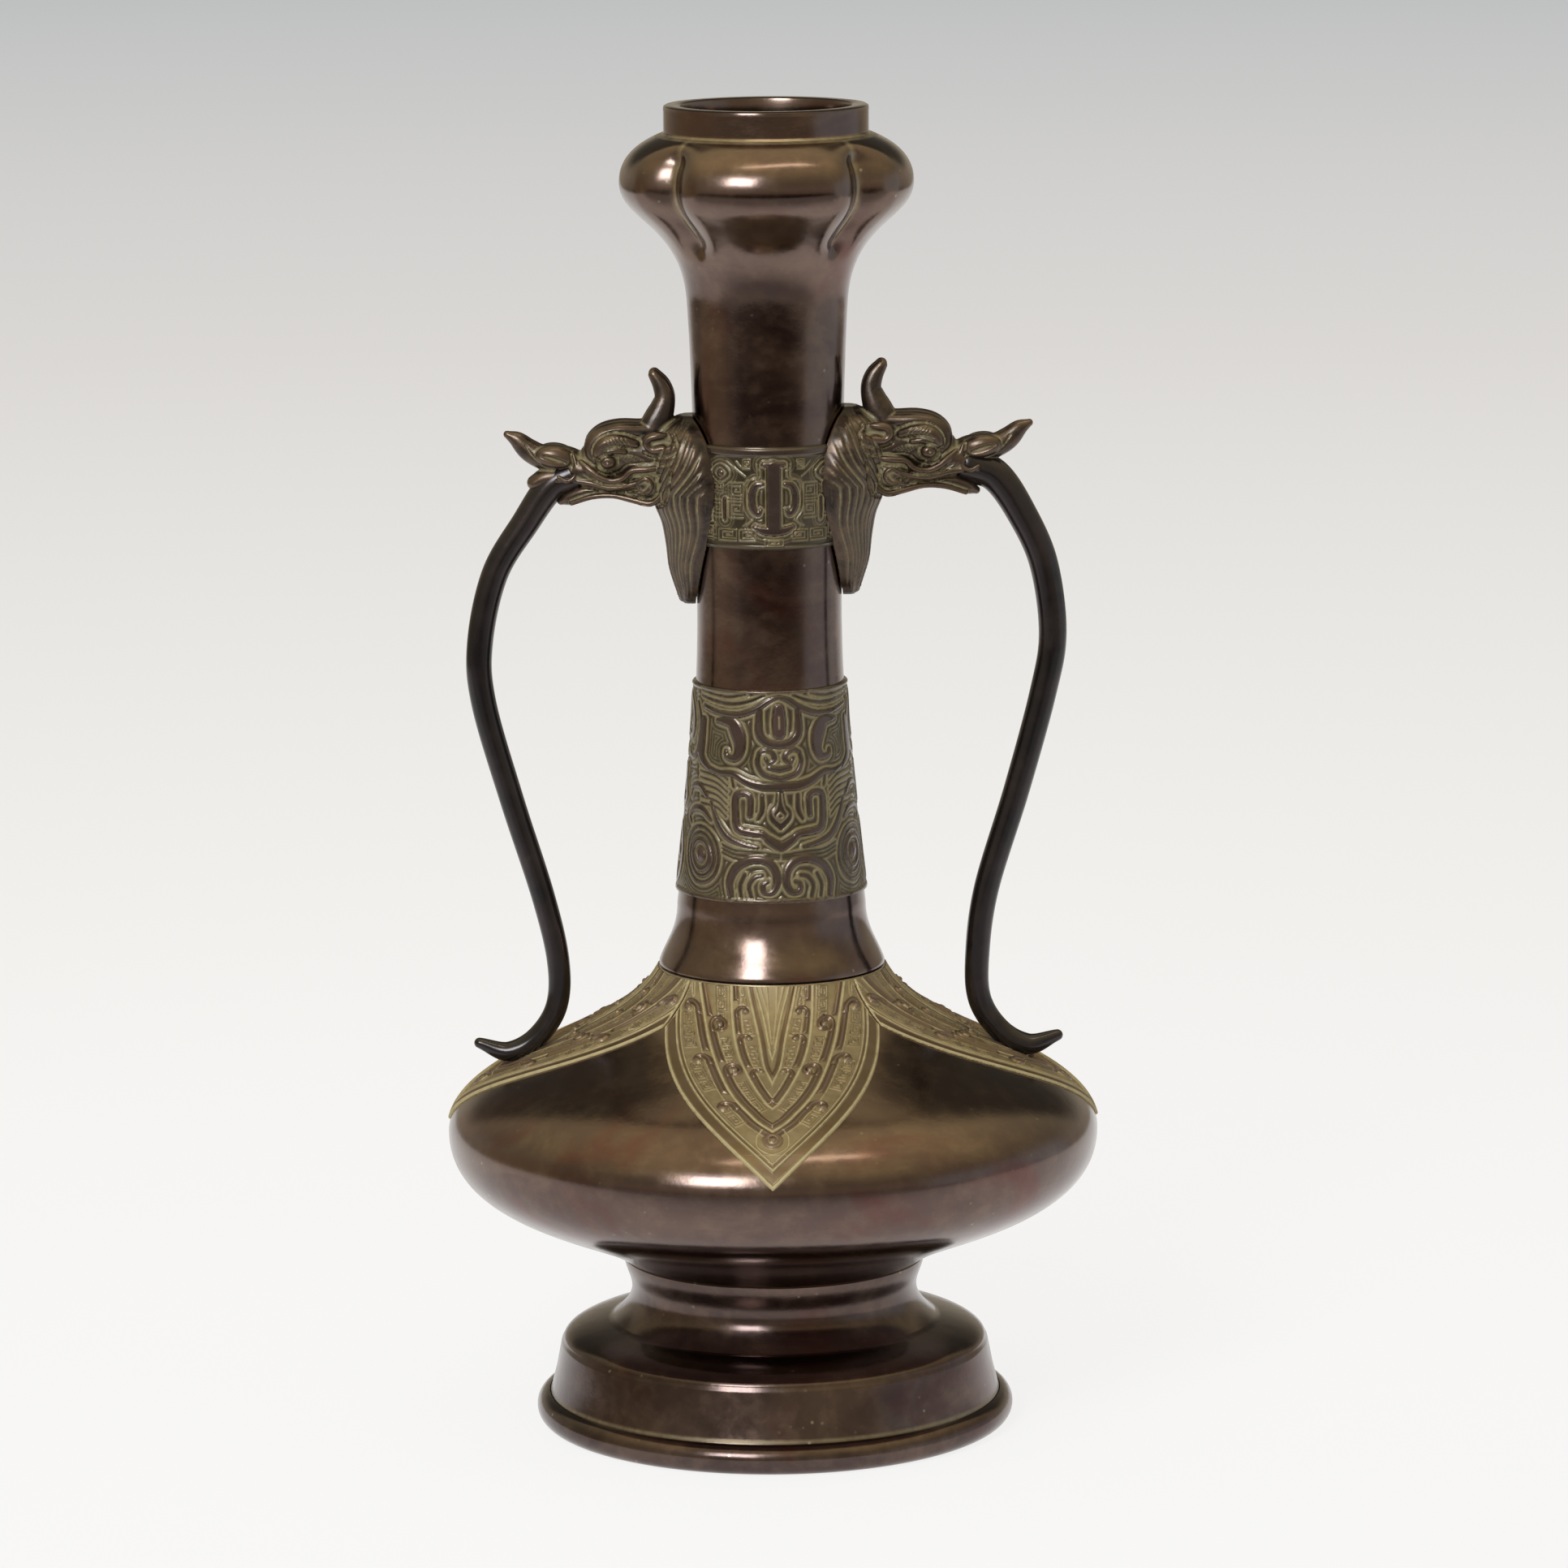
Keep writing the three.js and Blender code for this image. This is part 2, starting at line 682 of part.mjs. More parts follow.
const RIVET_START = NECK_WAIST_RADIUS - WALL - RIVET_HEAD_THICKNESS - 1;
const RIVET_LENGTH = NECK_WAIST_RADIUS + BAND_RISE + GAP + RIVET_GRIP - RIVET_START;

function rivetGeometry(height, turn) {
  const rivet = peg(
    RIVET_START,
    RIVET_LENGTH,
    RIVET_RADIUS,
    RIVET_HEAD_RADIUS,
    RIVET_HEAD_THICKNESS,
  );
  return rivet.rotateZ(turn).translate(0, 0, height);
}

function rivetHole(height, turn) {
  const start = RIVET_START - 1;
  const length = RIVET_LENGTH + 1 + GAP;
  const hole = peg(start, length, RIVET_RADIUS + GAP, 0, 0);
  return toManifold(hole.rotateZ(turn).translate(0, 0, height));
}

// The strap leaves the dragon's mouth, swings out, comes in and rests on the shoulder
function seatHeight(radius) {
  return heightAt(shoulderCurve(), radius);
}

// The height of a curve that only narrows, at one radius.
function heightAt(bend, radius) {
  let low = 0;
  let high = 1;
  for (let i = 0; i < 40; i++) {
    const middle = (low + high) / 2;
    if (bend.getPoint(middle).x > radius) low = middle;
    else high = middle;
  }
  return bend.getPoint(low).y;
}

function strapPath(side) {
  const { level, spread } = place(side);
  const mouth = level - MOUTH_BELOW_HEAD;
  const seat = seatHeight(TAIL_SEAT_RADIUS + spread) + LEAF_RISE + 0.8 * STRAP_HALF_WIDTH;
  const span = mouth - seat;
  const at = (x, share) => new THREE.Vector3(x, 0, seat + share * span);
  const swing = STRAP_OUT - STRAP_IN;
  const bow = 1.9 * spread;
  return [
    new THREE.Vector3(MOUTH_OUT - TENON_LENGTH, 0, mouth + 3.5),
    new THREE.Vector3(MOUTH_OUT, 0, mouth),
    at(MOUTH_OUT + 6.5, 0.939),
    at(STRAP_OUT - 3.6 + 0.5 * spread, 0.849),
    at(STRAP_OUT + 0.8 * spread, 0.727),
    at(STRAP_OUT - 0.085 * swing + bow, 0.622),
    at(STRAP_OUT - 0.44 * swing + bow, 0.451),
    at(STRAP_OUT - 0.84 * swing + bow, 0.279),
    at(STRAP_IN + spread, 0.163),
    at(STRAP_IN + 0.6 + spread, 0.082),
    at(STRAP_IN + 6.4 + spread, 0.026),
    new THREE.Vector3(TAIL_SEAT_RADIUS + spread, 0, seat),
    new THREE.Vector3(TAIL_SEAT_RADIUS + TAIL_TIP_OUT + spread, 0, seat + 3),
  ];
}

function strapSolid(side, growth) {
  const halfWidth = (t) => (t > 0.95 ? 0.72 : 1.12 - 0.36 * t) * STRAP_HALF_WIDTH + growth;
  const halfDepth = (t) => (t > 0.95 ? 0.7 : 1.1 - 0.28 * t) * STRAP_HALF_DEPTH + growth;
  return bar(strapPath(side), halfDepth, halfWidth, 32, 8);
}

// The pin through the shoulder stands square to it, under the strap's tail.
function tailPin(side, growth) {
  const { spread, turn } = place(side);
  const radius = TAIL_SEAT_RADIUS + spread;
  const height = seatHeight(radius);
  const slope = Math.atan2(seatHeight(radius + 1) - seatHeight(radius - 1), 2);
  const start = -WALL - RIVET_HEAD_THICKNESS - 0.6;
  const end = LEAF_RISE + GAP + TAIL_PIN_GRIP;
  const pinRadius = 0.75 * RIVET_RADIUS + growth;
  const headThickness = growth > 0 ? 0 : RIVET_HEAD_THICKNESS;
  const pin = peg(start, end - start + growth, pinRadius, 0.8 * RIVET_HEAD_RADIUS, headThickness);
  pin.rotateY(-Math.PI / 2 - slope).translate(radius, 0, height);
  return pin.rotateZ(turn);
}

function headGeometry(side) {
  const { level, turn } = place(side);
  const forms = [skull(level), lowerJaw(level), mane(level)];
  for (const y of [-1, 1]) {
    forms.push(horn(level, y), ear(level, y), eye(level, y));
    forms.push(nostril(level, y), cheek(level, y));
  }
  let solid = joined(forms).subtract(strapSolid(side, GAP));
  solid = toManifold(toGeometry(solid).rotateZ(turn)).subtract(neckClearance());
  for (const height of Object.values(rivetLevels(level))) {
    solid = solid.subtract(rivetHole(height, turn));
  }
  return toGeometry(largest(solid));
}

function strapGeometry(side) {
  const { turn } = place(side);
  const strap = toManifold(toGeometry(strapSolid(side, 0)).rotateZ(turn));
  const clear = strap.subtract(bodyBlock(LEAF_RISE + GAP));
  return toGeometry(largest(clear.subtract(toManifold(tailPin(side, GAP)))));
}

// The vase
const vase = new THREE.Group();

function addPiece(name, geometry, color, roughness) {
  const finish = new THREE.MeshStandardMaterial({ color, roughness, metalness: 0.85 });
  const mesh = new THREE.Mesh(geometry, finish);
  mesh.name = name;
  vase.add(mesh);
}

const sides = ["left", "right"];
let neck = toManifold(neckGeometry());
const tailHoles = [];
for (const side of sides) {
  const { level, turn } = place(side);
  for (const [where, height] of Object.entries(rivetLevels(level))) {
    neck = neck.subtract(rivetHole(height, turn));
    addPiece(`head_rivet_${side}_${where}`, rivetGeometry(height, turn), DARK, 0.5);
  }
  tailHoles.push(toManifold(tailPin(side, GAP)));
  addPiece(`tail_pin_${side}`, tailPin(side, 0), DARK, 0.5);
  addPiece(`dragon_head_${side}`, headGeometry(side), OLIVE, 0.45);
  addPiece(`handle_strap_${side}`, strapGeometry(side), DARK, 0.35);
}
addPiece("neck", toGeometry(neck), BROWN, 0.32);
addPiece("body", bodyGeometry(tailHoles), BROWN, 0.34);
addPiece("foot", revolve(footProfile(), BODY_SEGMENTS), DARK, 0.4);
addPiece("base_plate", basePlateGeometry(), BROWN, 0.6);

export default vase;
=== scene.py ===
"""A dark bronze garlic-mouth vase with relief bands, shoulder leaves and dragon-head handles."""

import math

import bpy
import numpy as np
from bpy.props import FloatProperty, FloatVectorProperty, PointerProperty
from bpy.types import Operator, Panel, PropertyGroup
from mathutils import Matrix


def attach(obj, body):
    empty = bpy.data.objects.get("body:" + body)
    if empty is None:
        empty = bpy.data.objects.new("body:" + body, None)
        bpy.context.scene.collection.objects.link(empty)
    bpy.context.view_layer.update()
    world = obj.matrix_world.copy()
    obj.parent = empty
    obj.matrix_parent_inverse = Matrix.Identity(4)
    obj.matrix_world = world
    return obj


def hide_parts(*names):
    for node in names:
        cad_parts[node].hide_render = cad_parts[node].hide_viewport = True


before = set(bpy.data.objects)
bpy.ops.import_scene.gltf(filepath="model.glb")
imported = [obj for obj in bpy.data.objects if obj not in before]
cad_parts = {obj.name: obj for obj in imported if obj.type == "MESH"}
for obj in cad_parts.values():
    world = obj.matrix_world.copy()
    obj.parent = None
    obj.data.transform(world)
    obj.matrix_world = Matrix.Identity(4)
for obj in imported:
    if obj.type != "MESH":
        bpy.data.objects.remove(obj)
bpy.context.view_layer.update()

bl_info = {
    "name": "Garlic-Mouth Vase",
    "version": (1, 0, 0),
    "blender": (4, 5, 0),
    "location": "3D View > Sidebar > Vase",
    "description": "Builds a dark bronze garlic-mouth vase with relief bands and dragon handles",
    "category": "Add Mesh",
}

MM = 0.001
TAU = 2 * math.pi
QUARTER = TAU / 4
SIDES = {"left": -1, "right": 1}
# Steps in a full turn of the turned pieces
SPIN_STEPS = 256


def length(name, millimetres, description):
    """A size that is kept in metres and shown as a length."""
    return FloatProperty(
        name=name, description=description, default=millimetres * MM, unit="LENGTH", precision=4
    )


def colour(name, value, description):
    """A colour of the bronze."""
    return FloatVectorProperty(
        name=name, description=description, default=value, subtype="COLOR", size=3, min=0, max=1
    )


class VaseSizes(PropertyGroup):
    """Sizes of the vase that the pieces are drawn from."""

    collar_radius: length("Collar radius", 32.3, "Radius of the neck's foot at the shoulder seam")
    neck_foot_radius: length("Neck foot radius", 27, "Radius of the neck under the mask band")
    neck_waist_radius: length("Neck waist radius", 20.6, "Radius of the neck where it is thinnest")
    neck_top_radius: length("Neck top radius", 22.75, "Radius of the neck under the bulb")
    bulb_radius: length("Bulb radius", 41.6, "Radius of the bulb over the crest of a lobe")
    valley_depth: length("Valley depth", 5.9, "Depth of the four valleys between the bulb's lobes")
    rim_radius: length("Rim radius", 29, "Outer radius of the upright rim")
    mouth_radius: length("Mouth radius", 24, "Inner radius of the mouth")
    belly_radius: length("Belly radius", 93.4, "Radius of the body where it is widest")
    body_foot_radius: length("Body foot radius", 44, "Radius of the body where it meets the foot")
    step_radius: length("Step radius", 61.5, "Radius of the foot at its step")
    skirt_radius: length("Skirt radius", 64.8, "Radius of the foot's skirt above the bead")
    bead_radius: length("Bead radius", 68.9, "Radius of the bead that the vase stands on")
    band_rise: length("Band rise", 0.7, "How far a relief band stands out from the neck")
    leaf_rise: length("Leaf rise", 0.6, "How far a leaf stands out from the shoulder")
    leaf_length: length("Leaf length", 77.8, "Length of a leaf over the shoulder")
    leaf_half_width: length("Leaf half width", 34.5, "Half the width of a leaf at its root")
    strap_half_width: length("Strap half width", 3.75, "Half the width of a handle's strap")
    head_level: length("Head level", 283, "Height of the dragons' eyes")
    wall: length("Wall", 3, "Thickness of the cast walls")


class VaseFinish(PropertyGroup):
    """Colours of the bronze."""

    patina: colour("Patina", (0.125, 0.082, 0.072), "Dark brown of the polished surfaces")
    warm: colour("Warm patina", (0.205, 0.142, 0.108), "Lighter brown of the rubbed surfaces")
    dark: colour("Dark patina", (0.020, 0.017, 0.018), "Near-black of the straps")
    residue: colour("Residue", (0.520, 0.420, 0.205), "Pale olive residue in the recesses")
    golden: colour("Golden brown", (0.150, 0.098, 0.045), "Golden brown of the rubbed relief")
    olive: colour("Olive lines", (0.245, 0.190, 0.085), "Olive residue in the lines of the bands")
    plain: colour("Plain bronze", (0.120, 0.085, 0.055), "Dull brown of the surfaces out of sight")


def sizes():
    """The sizes in millimetres, by name."""
    group = bpy.context.scene.vase_sizes
    return {name: getattr(group, name) / MM for name in VaseSizes.__annotations__}


# Levels of the joints, forms and bands, in millimetres above the floor
BEAD_HEIGHT = 8.7
STEP_LEVEL = 23.7
FOOT_TOP = 48.7
BODY_SEAT = 49.0
BELLY_LEVEL = 85.8
SEAM = 134.0
SOCKET_TOP = 140.9
NECK_FOOT_LEVEL = 152.0
MASK_BAND = (156.3, 216.3)
WAIST_LEVEL = 236.3
FRET_BAND = (256.3, 285.5)
BULB_START = 324.0
VALLEY_START = 336.0
BULB_LEVEL = 358.5
BULB_TOP = 371.8
TOP = 380.0

# The spigot under the neck and the one in the foot: radius, bore and the room round them
SPIGOT_RADIUS = 26.2
SPIGOT_BORE = 23.2
SPIGOT_RISE = 6.6
SOCKET_RADIUS = 26.5
FOOT_SPIGOT_RADIUS = 37.4
FOOT_SPIGOT_BORE = 34.4
FOOT_SPIGOT_END = 41.0
FOOT_SOCKET_RADIUS = 37.7
PLATE_SEAT = 37.4

# The valleys between the bulb's lobes: half their angle, and the height in which they come and go
VALLEY_HALF_ANGLE = math.radians(18)
VALLEY_COMES = 8
VALLEY_GOES = 6.65
# How round their floor is, and what makes good the depth that this takes
VALLEY_ROUNDING = 0.03
VALLEY_GAIN = 1.4

# How much higher the right dragon sits than the middle of both
HEAD_SHIFT = 1.2
# How full a leaf's outline swells before it runs to its point
LEAF_SWELL = 2.45
# Relief that stands this high, in millimetres, is rubbed all over
FULL_RISE = 0.6
# Farther than any point of a relief lies from a line
FAR = 99.0

# The mirrored room's radius and the reach of the floor's shading, in metres
ROOM_RADIUS = 8.9
FLOOR_REACH = 8


def bezier(start, pull_start, pull_end, end, count):
    """Points of radius and height along a smooth curve."""
    t = np.linspace(0, 1, count)[:, None]
    a, b, c, d = (np.array(p, float) for p in (start, pull_start, pull_end, end))
    return (1 - t) ** 3 * a + 3 * (1 - t) ** 2 * t * b + 3 * (1 - t) * t**2 * c + t**3 * d


def lower_neck(s, count):
    """Radius and height of the neck, from above the collar up to the waist."""
    foot, waist = s["neck_foot_radius"], s["neck_waist_radius"]
    start, end = (foot, NECK_FOOT_LEVEL), (waist, WAIST_LEVEL)
    return bezier(start, (foot - 2.2, 172), (waist, 205), end, count)


def upper_neck(s, count):
    """Radius and height of the neck, from the waist up to the bulb."""
    waist, top = s["neck_waist_radius"], s["neck_top_radius"]
    start, end = (waist, WAIST_LEVEL), (top, BULB_START)
    return bezier(start, (waist, 262), (top - 1.1, 308), end, count)


def neck_radius(height):
    """Radius of the plain neck at a height, or at many."""
    s = sizes()
    line = np.concatenate([lower_neck(s, 60), upper_neck(s, 60)[1:]])
    return np.interp(height, line[:, 1], line[:, 0])


def shoulder_line(count=200):
    """Radius and height of the shoulder, from the seam down to the belly."""
    s = sizes()
    collar, belly = s["collar_radius"], s["belly_radius"]
    start, end = (belly, BELLY_LEVEL), (collar, SEAM - 0.3)
    return bezier(start, (belly, 106.5), (collar + 11, 110.4), end, count)[::-1]


def along(line):
    """Distance along a line from its start, at each of its points."""
    steps = np.hypot(*np.diff(line, axis=0).T)
    return np.concatenate([[0], np.cumsum(steps)])


def moved(line, distance):
    """A line of radius and height moved sideways, to its left."""
    slope = np.gradient(line, axis=0)
    slope /= np.hypot(slope[:, 0], slope[:, 1])[:, None]
    return line + distance * np.stack([-slope[:, 1], slope[:, 0]], axis=1)


def step_up(value, low, high):
    """0 below low, 1 above high and a soft rise between."""
    t = np.clip((value - low) / (high - low), 0, 1)
    return t * t * (3 - 2 * t)


# Making pieces


def start_clean():
    """Leaves edit mode and lets go of every piece."""
    if bpy.context.object and bpy.context.object.mode != "OBJECT":
        bpy.ops.object.mode_set(mode="OBJECT")
    bpy.ops.object.select_all(action="DESELECT")


def pick(piece):
    """Selects one piece alone."""
    start_clean()
    piece.select_set(True)
    bpy.context.view_layer.objects.active = piece


def named(name):
    """Names the piece that was just made, and its mesh."""
    piece = bpy.context.object
    piece.name = name
    piece.data.name = name
    return piece


def set_places(piece, points):
    """Puts the piece's vertices at points given in millimetres."""
    flat = np.ascontiguousarray(np.asarray(points, float) * MM, np.float32).ravel()
    piece.data.vertices.foreach_set("co", flat)
    piece.data.update()


def at_vertices(piece, key):
    """The three numbers that each vertex holds under a key, such as its place or normal."""
    flat = np.zeros(len(piece.data.vertices) * 3, np.float32)
    piece.data.vertices.foreach_get(key, flat)
    return flat.reshape(-1, 3)


def get_places(piece):
    """The places of the piece's vertices in millimetres."""
    return at_vertices(piece, "co").astype(float) / MM


def outward(piece):
    """Which way the skin faces at each vertex."""
    return at_vertices(piece, "normal").astype(float)


def mark(piece, name, values):
    """Keeps a number at each vertex for the bronze to read."""
    layer = piece.data.attributes.get(name) or piece.data.attributes.new(name, "FLOAT", "POINT")
    layer.data.foreach_set("value", np.ascontiguousarray(values, np.float32).ravel())


def tidy_mesh(piece, merge=0.001):
    """Merges what meets, fills open ends and turns the faces outwards."""
    bpy.context.view_layer.objects.active = piece
    bpy.ops.object.mode_set(mode="EDIT")
    bpy.ops.mesh.select_all(action="SELECT")
    bpy.ops.mesh.remove_doubles(threshold=merge * MM)
    bpy.ops.mesh.fill_holes(sides=0)
    bpy.ops.mesh.select_all(action="SELECT")
    bpy.ops.mesh.normals_make_consistent(inside=False)
    bpy.ops.mesh.select_all(action="DESELECT")
    bpy.ops.object.mode_set(mode="OBJECT")


def shade(piece, degrees):
    """Shades the piece smooth, except over edges sharper than an angle."""
    pick(piece)
    bpy.ops.object.shade_smooth_by_angle(angle=math.radians(degrees))


def flip_to_left(piece):
    """Makes a piece drawn for the right side into the left one."""
    set_places(piece, get_places(piece) * np.array([-1, 1, 1]))
    tidy_mesh(piece)


def finished(piece, material, slot, *nodes):
    """Gives a piece its bronze and fixes it to the vase."""
    piece.data.materials.clear()
    piece.data.materials.append(material)
    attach(piece, "root")
    if nodes:
        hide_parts(*nodes)


def turned(name, profile, steps=SPIN_STEPS):
    """A closed outline of radius and height, spun about the vase's axis."""
    start_clean()
    bpy.ops.mesh.primitive_circle_add(vertices=len(profile), radius=0.1)
    piece = named(name)
    profile = np.asarray(profile, float)
    set_places(piece, np.stack([profile[:, 0], 0 * profile[:, 0], profile[:, 1]], axis=1))
    bpy.ops.object.mode_set(mode="EDIT")
    bpy.ops.mesh.select_all(action="SELECT")
    bpy.ops.mesh.spin(steps=steps, angle=TAU, center=(0, 0, 0), axis=(0, 0, 1))
    bpy.ops.object.mode_set(mode="OBJECT")
    tidy_mesh(piece)
    return piece


def wrapped(name, places, marks):
    """A grid laid over rows of points, with its meeting edges merged and its ends filled."""
    rows, columns = places.shape[:2]
    start_clean()
    bpy.ops.mesh.primitive_grid_add(x_subdivisions=columns - 1, y_subdivisions=rows - 1, size=2)
    piece = named(name)
    flat = at_vertices(piece, "co")
    column = np.rint((flat[:, 0] + 1) / 2 * (columns - 1)).astype(int)
    row = np.rint((flat[:, 1] + 1) / 2 * (rows - 1)).astype(int)
    set_places(piece, places[row, column])
    for key, values in marks.items():
        mark(piece, key, values[row, column])
    tidy_mesh(piece)
    return piece


# Drawing relief


def smooth(points, fineness=6):
    """A soft curve through given points. A third number, the half-width, is eased too."""
    p = np.array(points, float)
    if len(p) < 3:
        return p
    ends = np.vstack([2 * p[0] - p[1], p, 2 * p[-1] - p[-2]])
    made = []
    for i in range(1, len(ends) - 2):
        a, b, c, d = ends[i - 1], ends[i], ends[i + 1], ends[i + 2]
        for t in np.arange(fineness) / fineness:
            made.append(
                0.5 * (2 * b + (c - a) * t + (2 * a - 5 * b + 4 * c - d) * t**2)
                + 0.5 * (3 * b - a - 3 * c + d) * t**3
            )
    made.append(p[-1])
    return np.array(made)


class Relief:
    """Heights and stains drawn on a grid of points, all in millimetres."""

    def __init__(self, x, y):
        self.x, self.y = x, y
        self.height = np.zeros_like(x)
        self.stain = np.ones_like(x)
        self.away = np.full_like(x, FAR)

    def near(self, path, reach):
        """The points near a path, how far each is from it, and the path's half-width there."""
        low, high = path[:, :2].min(0) - reach, path[:, :2].max(0) + reach
        inside = (self.x >= low[0]) & (self.x <= high[0]) & (self.y >= low[1]) & (self.y <= high[1])
        spots = np.nonzero(inside)
        x, y = self.x[spots], self.y[spots]
        best = np.full(x.shape, FAR)
        width = np.zeros(x.shape)
        for a, b in zip(path[:-1], path[1:]):
            run = b[:2] - a[:2]
            share = ((x - a[0]) * run[0] + (y - a[1]) * run[1]) / max(run @ run, 1e-9)
            share = np.clip(share, 0, 1)
            distance = np.hypot(x - a[0] - share * run[0], y - a[1] - share * run[1])
            own = a[2] + share * (b[2] - a[2])
            closer = distance - own < best - width
            best = np.where(closer, distance, best)
            width = np.where(closer, own, width)
        return spots, best, width

    def ridge(self, points, height, soft=0.35, clean=1.0, curved=True, fineness=6):
        """A raised line. Each point is x, y and half-width."""
        path = smooth(points, fineness) if curved else np.array(points, float)
        spots, distance, width = self.near(path, path[:, 2].max() + 3)
        edge = distance - width
        self.away[spots] = np.minimum(self.away[spots], edge)
        rise = height * (1 - step_up(edge, -soft, soft * 0.4))
        self.height[spots] = np.maximum(self.height[spots], rise)
        self.stain[spots] = np.minimum(self.stain[spots], 1 - clean * (1 - step_up(edge, -soft, 0)))

    def groove(self, points, depth, stain=1.0, curved=True):
        """A cut line. Each point is x, y and half-width."""
        path = smooth(points) if curved else np.array(points, float)
        spots, distance, width = self.near(path, path[:, 2].max() + 0.5)
        cut = 1 - step_up(distance / width, 0.1, 1)
        self.height[spots] -= depth * cut
        self.stain[spots] = np.maximum(self.stain[spots], stain * cut)

    def cut_round(self, points, margin, depth):
        """Cuts the ground lower round a raised line and takes the residue off there, which leaves a
        dark ring of painted shade.
        """
        path = smooth(points)
        spots, distance, width = self.near(path, path[:, 2].max() + margin + 0.5)
        close = 1 - step_up(distance - width, 0.5 * margin, margin)
        self.height[spots] -= depth * close
        # No residue in the ring: painted shade round the raised line
        self.stain[spots] *= 1 - close

    def boss(self, x, y, across, up, height, clean=1.0):
        """A round or oval dome."""
        far = np.hypot((self.x - x) / across, (self.y - y) / up)
        edge = (far - 1) * min(across, up)
        self.away = np.minimum(self.away, edge)
        self.height = np.maximum(self.height, height * np.sqrt(np.clip(1 - far**2, 0, 1)))
        self.stain = np.minimum(self.stain, 1 - clean * (1 - step_up(edge, -0.6, 0)))

    def follow_lines(self, pitch, depth, start=0.3, reach=6.0, outline=0.0):
        """Fine lines in the ground beside the raised shapes, with residue along every edge."""
        away = self.away
        begin = start + 1.5 * outline
        wave = 0.5 + 0.5 * np.cos(TAU * (away - begin - 0.5 * pitch) / pitch)
        free = step_up(away, begin * 0.8, begin) * (1 - step_up(away, reach, reach + 0.5))
        self.height += free * depth * wave
        if outline:
            ring = np.exp(-(((away - 0.6 * outline) / (0.5 * outline)) ** 2))
            self.height = np.maximum(self.height, 0.42 * ring)
            self.height -= 0.12 * np.exp(-(((away - 1.5 * outline) / (0.35 * outline)) ** 2))
        else:
            ring = np.exp(-(((away - 0.02) / 0.22) ** 2))
        # The ground is paler on the crests of the fine lines and dark in their grooves: painted
        # shade in the grooves
        ground = step_up(away, 0.05, 0.25) * (0.1 + 0.45 * free * wave)
        self.stain = np.clip(0.95 * ring + ground, 0, 1)

    def marks(self, stain, more):
        """What the bronze reads: stains and rubbed heights, with blank columns for the back."""
        extra = [(0, 0), (0, more)]
        raised = np.clip(self.height / FULL_RISE, 0, 1)
        return {"stain": np.pad(stain, extra), "raised": np.pad(raised, extra)}


def fret(turns=2):
    """A square spiral inside a unit square, from its rim to its middle."""
    points = [(0, 0), (1, 0), (1, 1), (0, 1)]
    inset = 1 / (2 * turns + 0.6)
    low, high = inset, 1 - inset
    points.append((0, low))
    while high - low > 0.5 * inset:
        points += [(high, low), (high, high), (low, high)]
        low, high = low + inset, high - inset
        points.append((low - inset, low))
    return points[:-1]


def framed(places, width):
    """Adds one half-width to each point."""
    return [(x, y, width) for x, y in places]


# Bronze


class Signal:
    """A socket of a material's nodes that can be used in sums."""

    def __init__(self, tree, socket=None):
        self.tree = tree
        self.socket = socket

    def node(self, kind, settings=None, values=None, out=0):
        """Adds a node, sets it up, feeds its sockets and gives back one of its results."""
        made = self.tree.nodes.new(kind)
        for key, value in (settings or {}).items():
            if key == "stops":
                ramp = made.color_ramp
                while len(ramp.elements) < len(value):
                    ramp.elements.new(0.5)
                for element, (place, tint) in zip(ramp.elements, value):
                    element.position = place
                    element.color = (*tint, 1)
            else:
                setattr(made, key, value)
        for key, value in (values or {}).items():
            socket = made.inputs[key]
            if isinstance(value, Signal):
                self.tree.links.new(value.socket, socket)
            elif isinstance(value, tuple) and socket.type == "RGBA":
                socket.default_value = (*value, 1)
            else:
                socket.default_value = value
        return Signal(self.tree, made.outputs[out])

    def sum_of(self, operation, first, second, clamp=False):
        """The sum, difference or product of two values."""
        settings = {"operation": operation, "use_clamp": clamp}
        return self.node("ShaderNodeMath", settings, {0: first, 1: second})

    def __add__(self, other):
        return self.sum_of("ADD", self, other)

    __radd__ = __add__

    def __sub__(self, other):
        return self.sum_of("SUBTRACT", self, other)

    def __rsub__(self, other):
        return self.sum_of("SUBTRACT", other, self)

    def __mul__(self, other):
        return self.sum_of("MULTIPLY", self, other)

    __rmul__ = __mul__

    def limited(self):
        """Held between 0 and 1."""
        return self.sum_of("ADD", self, 0.0, clamp=True)

    def between(self, low, high):
        """0 below low, 1 above high."""
        values = {"Value": self, "From Min": low, "From Max": high, "To Min": 0.0, "To Max": 1.0}
        return self.node("ShaderNodeMapRange", {"interpolation_type": "SMOOTHSTEP"}, values)

    def drawn_out(self, *amounts):
        """This place multiplied in each direction, so that a pattern on it is squeezed there."""
        values = {0: self, 1: amounts}
        return self.node("ShaderNodeVectorMath", {"operation": "MULTIPLY"}, values, out="Vector")

    def coordinate(self, axis):
        """One coordinate of this place."""
        return self.node("ShaderNodeSeparateXYZ", None, {0: self}, out=axis)

    def noise(self, scale, detail=3.0, roughness=0.55, distortion=0.0):
        """Cloudy noise over this place."""
        values = {"Vector": self, "Scale": scale, "Detail": detail}
        values.update({"Roughness": roughness, "Distortion": distortion})
        return self.node("ShaderNodeTexNoise", None, values)

    def blend(self, first, second):
        """One colour turning into another as this goes from 0 to 1."""
        settings = {"data_type": "RGBA", "clamp_factor": True}
        return self.node("ShaderNodeMix", settings, {0: self, 6: first, 7: second}, out=2)


def empty_material(name):
    """A new material without nodes, and the signal that its nodes start from."""
    material = bpy.data.materials.new(name)
    material.use_nodes = True
    tree = material.node_tree
    tree.nodes.clear()
    return material, Signal(tree)


def cover(shader):
    """Puts a shader on the surface of its material."""
    output = shader.tree.nodes.new("ShaderNodeOutputMaterial")
    shader.tree.links.new(shader.socket, output.inputs["Surface"])


def darker(tint, share):
    """A share of a colour."""
    return tuple(share * part for part in tint)


